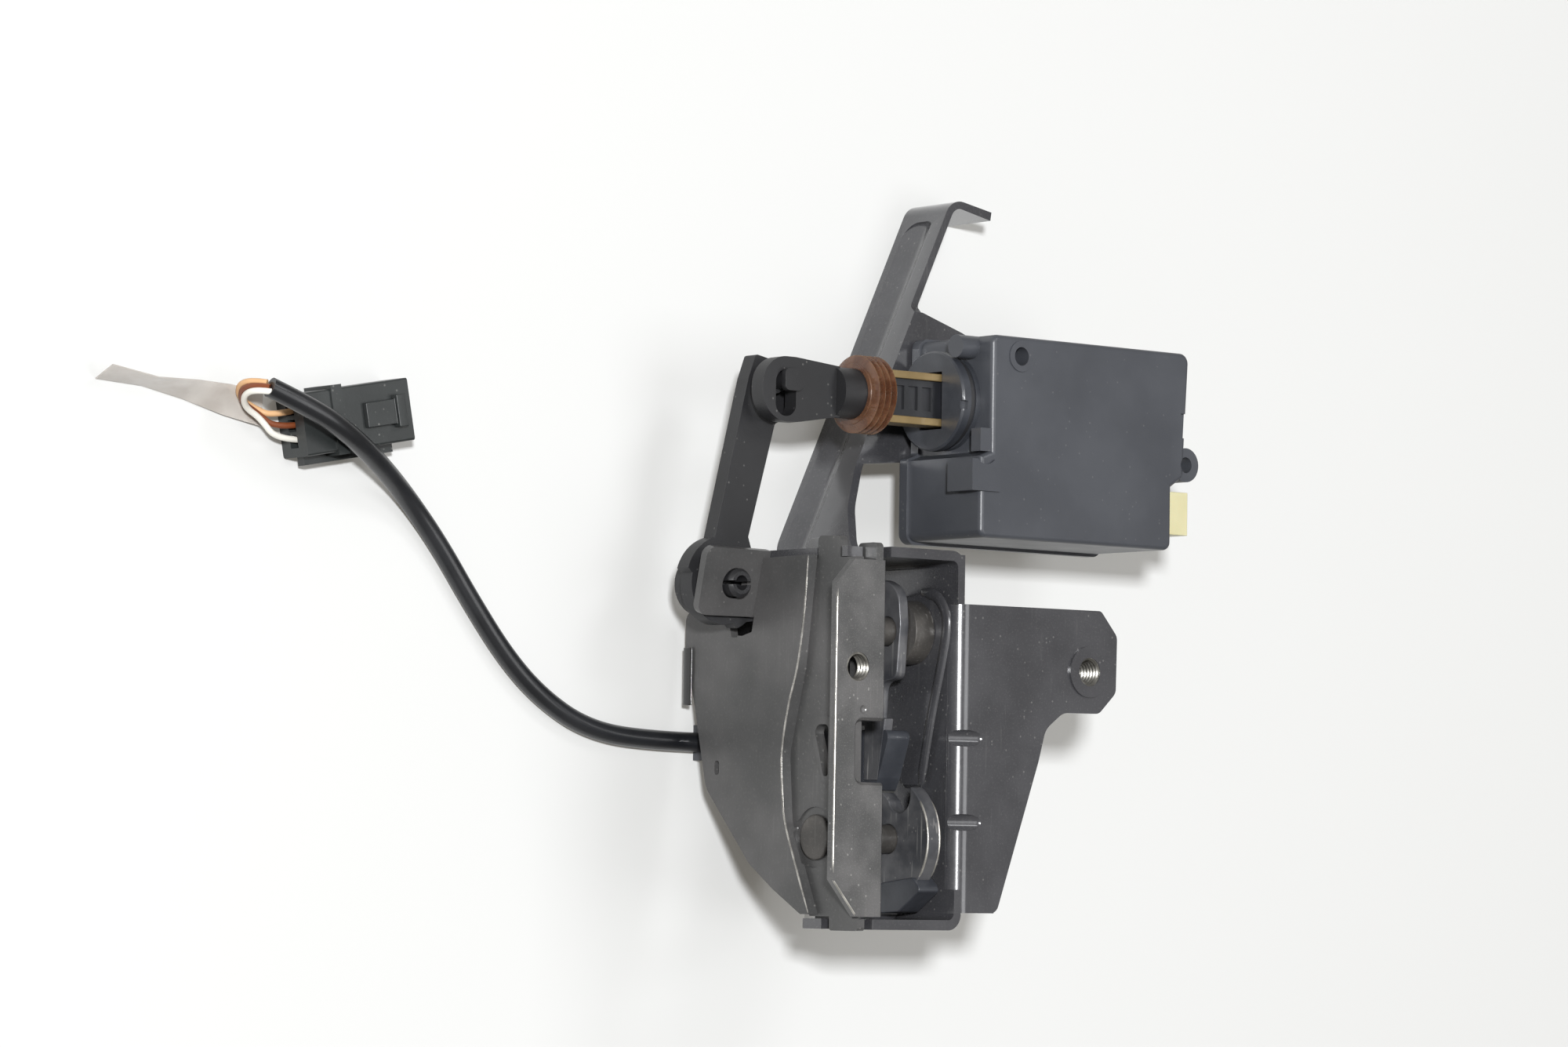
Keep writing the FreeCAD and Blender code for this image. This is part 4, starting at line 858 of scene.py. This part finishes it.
@dataclass
class LatchHousing:
    """The folded frame plate, the cover plate, the front strip and their rivets."""

    lug_tilt: float = 14.8
    lug_foot: tuple[float, float] = (0.0154, -0.0475)
    lug_faces: tuple[float, float] = (-0.0475, -0.0450)
    step_line: tuple[tuple[float, float], ...] = (
        (31.0, -20.9), (14.0, -22.4), (0.6, -24.9), (-10.3, -28.6), (-23.1, -31.2), (-34.0, -30.6), (-42.5, -29.2),
        (-55.0, -24.0), (-66.9, -18.7))
    bead_line: tuple[tuple[float, float], ...] = (
        (22.4, -14.4), (20.9, -7.7), (16.5, -3.9), (11.2, -3.4), (0.9, -5.6), (-10.2, -8.7), (-23.2, -11.7),
        (-31.8, -13.5))
    ramp_narrowing: float = 0.0012
    ramp_depth: float = 0.0022
    ramp_ends: tuple[float, float] = (-0.0680, 0.0318)
    notch_corners: tuple[tuple[float, float, float, float], ...] = (
        (14.5, -36.2, 15.2, -44.4), (9.8, -36.2, 10.5, -45.2), (9.8, -47.6, 9.6, -49.6),
        (5.4, -47.6, 9.3, -51.6), (5.4, -54.6, 9.3, -54.4), (17.0, -54.6, 15.8, -55.8))
    notch_reach: float = 0.0018
    notch_share: float = 0.45
    lug_ends: tuple[float, float] = (0.0142, 0.0338)
    nut_radius: float = 0.0053
    nut_depth: float = 0.0052
    collar_reach: float = 0.0068
    collar_wall: float = 0.0055
    collar_top: float = -0.0023
    hole_radius: float = 0.004
    thread_pitch: float = 0.00125
    thread_depth: float = 0.00062
    strip_thread_ends: tuple[float, float] = (-0.0050, -0.0002)
    tab_thread_ends: tuple[float, float] = (-0.0088, 0.0004)
    tab_hole: Point = (0.0843, 0.0016, 0.0)
    strip_lines: tuple[tuple[str, Point, Point], ...] = (
        ("strip_arris", (-7.72, -57.6, -0.16), (-7.42, 22.7, -0.16)),
        ("strip_low_arris", (-7.7, -57.8, -0.16), (0.5, -67.5, -0.16)))
    strip_arris_width: float = 0.0006
    step_arris_width: float = 0.0008
    arris_height: float = 0.00022
    cover_face: float = -1.0
    wall_face: float = 34.4
    wall_bead_size: tuple[float, float] = (0.0034, 0.0010)
    web_outline: tuple[tuple[float, float], ...] = ((6.0, -24.2), (25.0, -52.0), (37.8, -52.0), (37.8, -24.2))
    web_ends: tuple[float, float] = (-71.1, -67.1)
    # Black sheet behind the cover's notch: painted shade of the box's dark inside.
    shade_sheet_outline: tuple[tuple[float, float], ...] = ((8.0, -68.0), (9.2, -68.0), (9.2, -52.0), (8.0, -52.0))
    shade_sheet_ends: tuple[float, float] = (9.0, 17.5)
    clip_middle: tuple[float, float] = (-1.55, -73.2)
    clip_half: tuple[float, float] = (0.5, 1.95)
    clip_rows: tuple[float, ...] = (-9.3, -9.0, 6.6, 6.9)

    def threads(self) -> None:
        """The threads of the two mounting holes."""
        for name, centre, ends in (("strip_thread", (0, 0, 0), self.strip_thread_ends),
                                   ("tab_thread", self.tab_hole, self.tab_thread_ends)):
            lining = thread(name, centre, self.hole_radius, self.thread_depth, self.thread_pitch, *ends)
            add_piece(lining, "housing", THREAD_STEEL)

    def formed_cover(self, points: np.ndarray) -> np.ndarray:
        """Steepens the ramp, moves the notch under the lug and tilts the lug with its fold.

        The ramp's foot goes down by a fixed depth along the step line. Points near a corner of the notch, given as
        old y, old z, new y and new z in millimetres, go to the new corner plus a share of their distance from
        the old one. The lug's points turn about a line along X through its foot: y goes to
        foot + (y - foot) * cos t - rise * sin t, and z to base + (y - foot) * sin t + rise * cos t.

        Args:
            points: The cover's points, in metres.

        Returns:
            The moved points.
        """
        moved = points.copy()
        x, y, z = points.T
        heights, depths = np.array(self.step_line).T
        order = np.argsort(heights)
        ramp_foot = np.interp(y / MILLIMETRE, heights[order], depths[order]) * MILLIMETRE + self.ramp_depth
        foot = (np.abs(x - 0.0015) < 2e-5) & (np.abs(z - ramp_foot) < 0.0007)
        foot &= (y > self.ramp_ends[0]) & (y < self.ramp_ends[1])
        moved[foot, 2] -= self.ramp_narrowing
        for y0, z0, y1, z1 in self.notch_corners:
            near = np.hypot(y - y0 * MILLIMETRE, z - z0 * MILLIMETRE) < self.notch_reach
            near &= (x > -0.0011) & (x < 0.0016)
            moved[near, 1] = y1 * MILLIMETRE + self.notch_share * (y[near] - y0 * MILLIMETRE)
            moved[near, 2] = z1 * MILLIMETRE + self.notch_share * (z[near] - z0 * MILLIMETRE)
        base, face = self.lug_faces
        lug = (z > base - 1e-5) & (z < face + 1e-5) & (x < 0.0016)
        lug &= (y > self.lug_ends[0]) & (y < self.lug_ends[1])
        turn = math.radians(self.lug_tilt)
        ahead = y[lug] + 0.0009 - self.lug_foot[0]
        rise = z[lug] - self.lug_foot[1]
        moved[lug, 1] = self.lug_foot[0] + ahead * math.cos(turn) - rise * math.sin(turn)
        moved[lug, 2] = self.lug_foot[1] + ahead * math.sin(turn) + rise * math.cos(turn)
        return moved

    def painted_highlights_and_bead(self) -> None:
        """Painted highlights as pale beads along the strip's arrises and the cover's step, and the wall's bead."""
        slanting, across = unit(np.array([-0.7, 0.0, 0.7])), np.array([-1.0, 0.0, 0.0])
        # Pale beads along the strip's arrises: painted highlight.
        for name, first, last in self.strip_lines:
            line = millimetres([first, last])
            run = line[0] + np.linspace(0, 1, 60)[:, None] * (line[1] - line[0])
            arris = bead(name, run, slanting, self.strip_arris_width, self.arris_height)
            add_piece(arris, "housing", WEAR_AND_HIGHLIGHT_STEEL)
        # Pale bead along the cover's step line: painted highlight on the fold's edge.
        ridge = smooth_path(millimetres([(self.cover_face, y, z) for y, z in self.step_line]), 14)
        arris = bead("step_arris", ridge, across, self.step_arris_width, self.arris_height)
        add_piece(arris, "housing", STEP_HIGHLIGHT_PAINT)
        wall = smooth_path(millimetres([(self.wall_face, y, z) for y, z in self.bead_line]), 14)
        add_piece(bead("wall_bead", wall, across, *self.wall_bead_size), "housing", FRAME_STEEL)

    def low_web(self) -> None:
        """The bottom wall's hidden part, which closes the box behind the strip, and a black sheet behind the notch:
        painted shade of the box's dark inside.
        """
        sides = [(i, (i + 1) % 4, 4 + (i + 1) % 4, 4 + i) for i in range(4)]
        walls = (("low_web", self.web_outline, self.web_ends, FRAME_STEEL),
                 ("notch_shade_sheet", self.shade_sheet_outline, self.shade_sheet_ends, CLIP_PLASTIC))
        for name, outline, (low, high), finish in walls:
            points = millimetres([(x, y, z) for y in (low, high) for x, z in outline])
            piece = new_piece(name, points, [(3, 2, 1, 0), (4, 5, 6, 7)] + sides, smooth=False)
            add_piece(piece, "housing", finish)

    def edge_clip(self) -> None:
        """The glossy black clip over the cover's left edge.

        Its section is the oval x = middle + half * cos a, z = middle + half * sin a, carried along y.
        """
        steps, rows = 24, len(self.clip_rows)
        a = np.linspace(0, math.tau, steps, endpoint=False)
        section = np.stack([self.clip_middle[0] + self.clip_half[0] * np.cos(a),
                            self.clip_middle[1] + self.clip_half[1] * np.sin(a)], axis=-1)
        lines = [np.column_stack([section[:, 0], np.full(steps, y), section[:, 1]]) for y in self.clip_rows]
        points = millimetres(np.array(lines).reshape(-1, 3))
        faces = [tuple(f) for f in grid_faces(rows, steps, False, True)]
        faces += [tuple(range(steps)), tuple(range((rows - 1) * steps, rows * steps))]
        add_piece(new_piece("edge_clip", points, faces), "housing", CLIP_PLASTIC)

    def formed_strip(self, points: np.ndarray) -> np.ndarray:
        """Draws the threaded collar behind the strip in to its real width and height.

        Points of the collar's wall go to radius nut_radius about Z, and none stays lower than nut_depth.

        Args:
            points: The strip's points, in metres.

        Returns:
            The moved points.
        """
        moved = points.copy()
        reach = np.hypot(points[:, 0], points[:, 1])
        collar = (reach < self.collar_reach) & (points[:, 2] < self.collar_top)
        wide = collar & (reach > self.collar_wall)
        moved[wide, :2] *= (self.nut_radius / reach[wide])[:, None]
        moved[:, 2] = np.where(collar, np.maximum(points[:, 2], -self.nut_depth), points[:, 2])
        return moved

    def build(self) -> None:
        """Dresses the plates and adds what is formed in them."""
        softened("frame_plate", FRAME_STEEL, FOLDED_EDGE)
        softened("cover_plate", COVER_STEEL, PRESSED_EDGE, self.formed_cover)
        softened("front_strip", STRIP_STEEL, PRESSED_EDGE, self.formed_strip)
        for node in ("catch_rivet", "pawl_rivet", "rocker_rivet"):
            softened(node, PIN_STEEL, MOULDED_EDGE)
        self.threads()
        self.painted_highlights_and_bead()
        self.low_web()
        self.edge_clip()


@dataclass
class CatchAndPawl:
    """The catch, the pawl and their springs."""

    catch_centre: tuple[float, float] = (-0.0463, -0.0192)
    catch_radius: float = 0.0172
    catch_faces: tuple[float, float] = (0.0274, 0.0320)
    rubbed_arc: tuple[float, float] = (52.0, 128.0)
    rim_inset: float = 0.0002
    rim_sink: float = 0.00012
    rim_size: tuple[float, float] = (0.0007, 0.0003)

    def worn_rims(self) -> None:
        """The pale rubbed arrises of the catch: y = centre + r cos t and z = centre + r sin t."""
        steps = 60
        t = np.linspace(*np.radians(self.rubbed_arc), steps)
        reach = self.catch_radius - self.rim_sink
        for name, x, lean in (("catch_arris_inner", self.catch_faces[0] + self.rim_inset, -0.5),
                              ("catch_arris_outer", self.catch_faces[1] - self.rim_inset, 0.5)):
            path = np.column_stack([np.full(steps, x), self.catch_centre[0] + reach * np.cos(t),
                                    self.catch_centre[1] + reach * np.sin(t)])
            add_piece(bead(name, path, unit(np.array([lean, 0.0, 1.0])), *self.rim_size), "catch", WEAR_AND_HIGHLIGHT_STEEL)

    def build(self) -> None:
        """Dresses the moving latch pieces."""
        self.worn_rims()
        softened("catch_core", LATCH_STEEL, PRESSED_EDGE)
        softened("catch_bumper", NOSE_PLASTIC, PRESSED_EDGE)
        softened("pawl_core", LATCH_STEEL, PRESSED_EDGE)
        softened("pawl_tip", NOSE_PLASTIC, PRESSED_EDGE)
        softened("pawl_spacer", PIN_STEEL, FINE_EDGE)
        for node in ("catch_spring", "pawl_spring"):
            dress(frame["nodes"][node], SPRING_STEEL)


@dataclass
class ReleaseLinkage:
    """The rocker, the outer lever, the slotted eye and the bellows."""

    pivot: tuple[float, float] = (-0.0092, 0.0237)
    head_share: float = 0.86
    collar_low: float = -0.0590
    finger_lift: float = 0.003
    post_share: float = 0.86
    barb_lift: float = 0.0035
    finger_box: Point = (0.0030, 0.0160, -0.0470)
    head_radius: float = 0.0132
    head_limits: tuple[float, float] = (-0.004, 0.0272)
    collar_reach: float = 0.010
    collar_top: float = -0.0536
    post_reach: float = 0.0052
    post_foot: float = -0.0479
    barb_foot: float = -0.0470

    def formed_lever(self, points: np.ndarray) -> np.ndarray:
        """Lifts the finger over the cover's notch and sets the snap post through the tilted lug.

        The head's rim and the post come nearer the pivot, x and y each going to pivot + share * (value - pivot).

        Args:
            points: The lever's points, in metres.

        Returns:
            The moved points.
        """
        moved = points.copy()
        x, y, z = points.T
        finger = (x > self.finger_box[0]) & (y < self.finger_box[1]) & (z < self.finger_box[2])
        moved[finger, 1] += self.finger_lift
        reach = np.hypot(x - self.pivot[0], y - self.pivot[1])
        rim = (np.abs(reach - self.head_radius) < 0.0004) & (x < self.head_limits[0]) & (y < self.head_limits[1])
        post = (reach < self.post_reach) & (z > self.post_foot)
        for chosen, share in ((rim, self.head_share), (post, self.post_share)):
            moved[chosen, 0] = self.pivot[0] + (x[chosen] - self.pivot[0]) * share
            moved[chosen, 1] = self.pivot[1] + (y[chosen] - self.pivot[1]) * share
        moved[(z < self.collar_top) & (reach < self.collar_reach), 2] = self.collar_low
        moved[post & (z > self.barb_foot), 2] += self.barb_lift
        return moved

    def build(self) -> None:
        """Dresses the linkage."""
        softened("release_rocker", LATCH_STEEL, MOULDED_EDGE)
        softened("outer_lever", LEVER_PLASTIC, FOLDED_EDGE, self.formed_lever)
        softened("link_eye", LEVER_PLASTIC, FOLDED_EDGE)
        softened("bellows", BROWN_RUBBER, FINE_EDGE)
        dress(frame["nodes"]["plunger_core"], CORE_PLASTIC)
        for node in ("rail_upper", "rail_lower"):
            softened(node, RAIL_BRASS, MOULDED_EDGE)


@dataclass
class Actuator:
    """The pulling actuator: its case, nose, gears, motor, switch and socket."""

    def build(self) -> None:
        """Dresses the actuator."""
        nodes = frame["nodes"]
        softened("actuator_front_shell", CASE_PLASTIC, PRESSED_EDGE)
        softened("actuator_rear_shell", CASE_PLASTIC, PRESSED_EDGE)
        softened("nose_collar", NOSE_PLASTIC, MOULDED_EDGE)
        softened("nose_seal", BLACK_RUBBER, MOULDED_EDGE)
        softened("actuator_socket", YELLOW_PLASTIC, MOULDED_EDGE)
        for i in (1, 2, 3):
            dress(nodes[f"contact_blade_{i}"], BRASS)
            dress(nodes[f"case_screw_{i}"], SCREW_STEEL)
        for i in (1, 2):
            dress(nodes[f"bracket_screw_{i}"], SCREW_STEEL)
        for node in ("rack_bar", "gear_wheel", "gear_pinion"):
            dress(nodes[node], GREY_PLASTIC)
        for node in ("motor_can", "motor_rotor"):
            dress(nodes[node], PIN_STEEL)
        for node in ("switch_body", "cable_clip"):
            dress(nodes[node], CASE_PLASTIC)
        dress(nodes["switch_button"], RED_PLASTIC)
        dress(nodes["switch_bracket"], FRAME_STEEL)


def main() -> None:
    """Builds the camera and the cords first, then the lock and its studio."""
    logging.basicConfig(level=logging.INFO, format="%(message)s")
    PhotoCamera().build()
    harness = Harness()
    harness.cords()
    harness.build()
    for part in (LatchHousing(), CatchAndPawl(), ReleaseLinkage(), Actuator()):
        part.build()
        log.info("built %s", type(part).__name__)
    Studio().build()


if __name__ == "__main__":
    main()
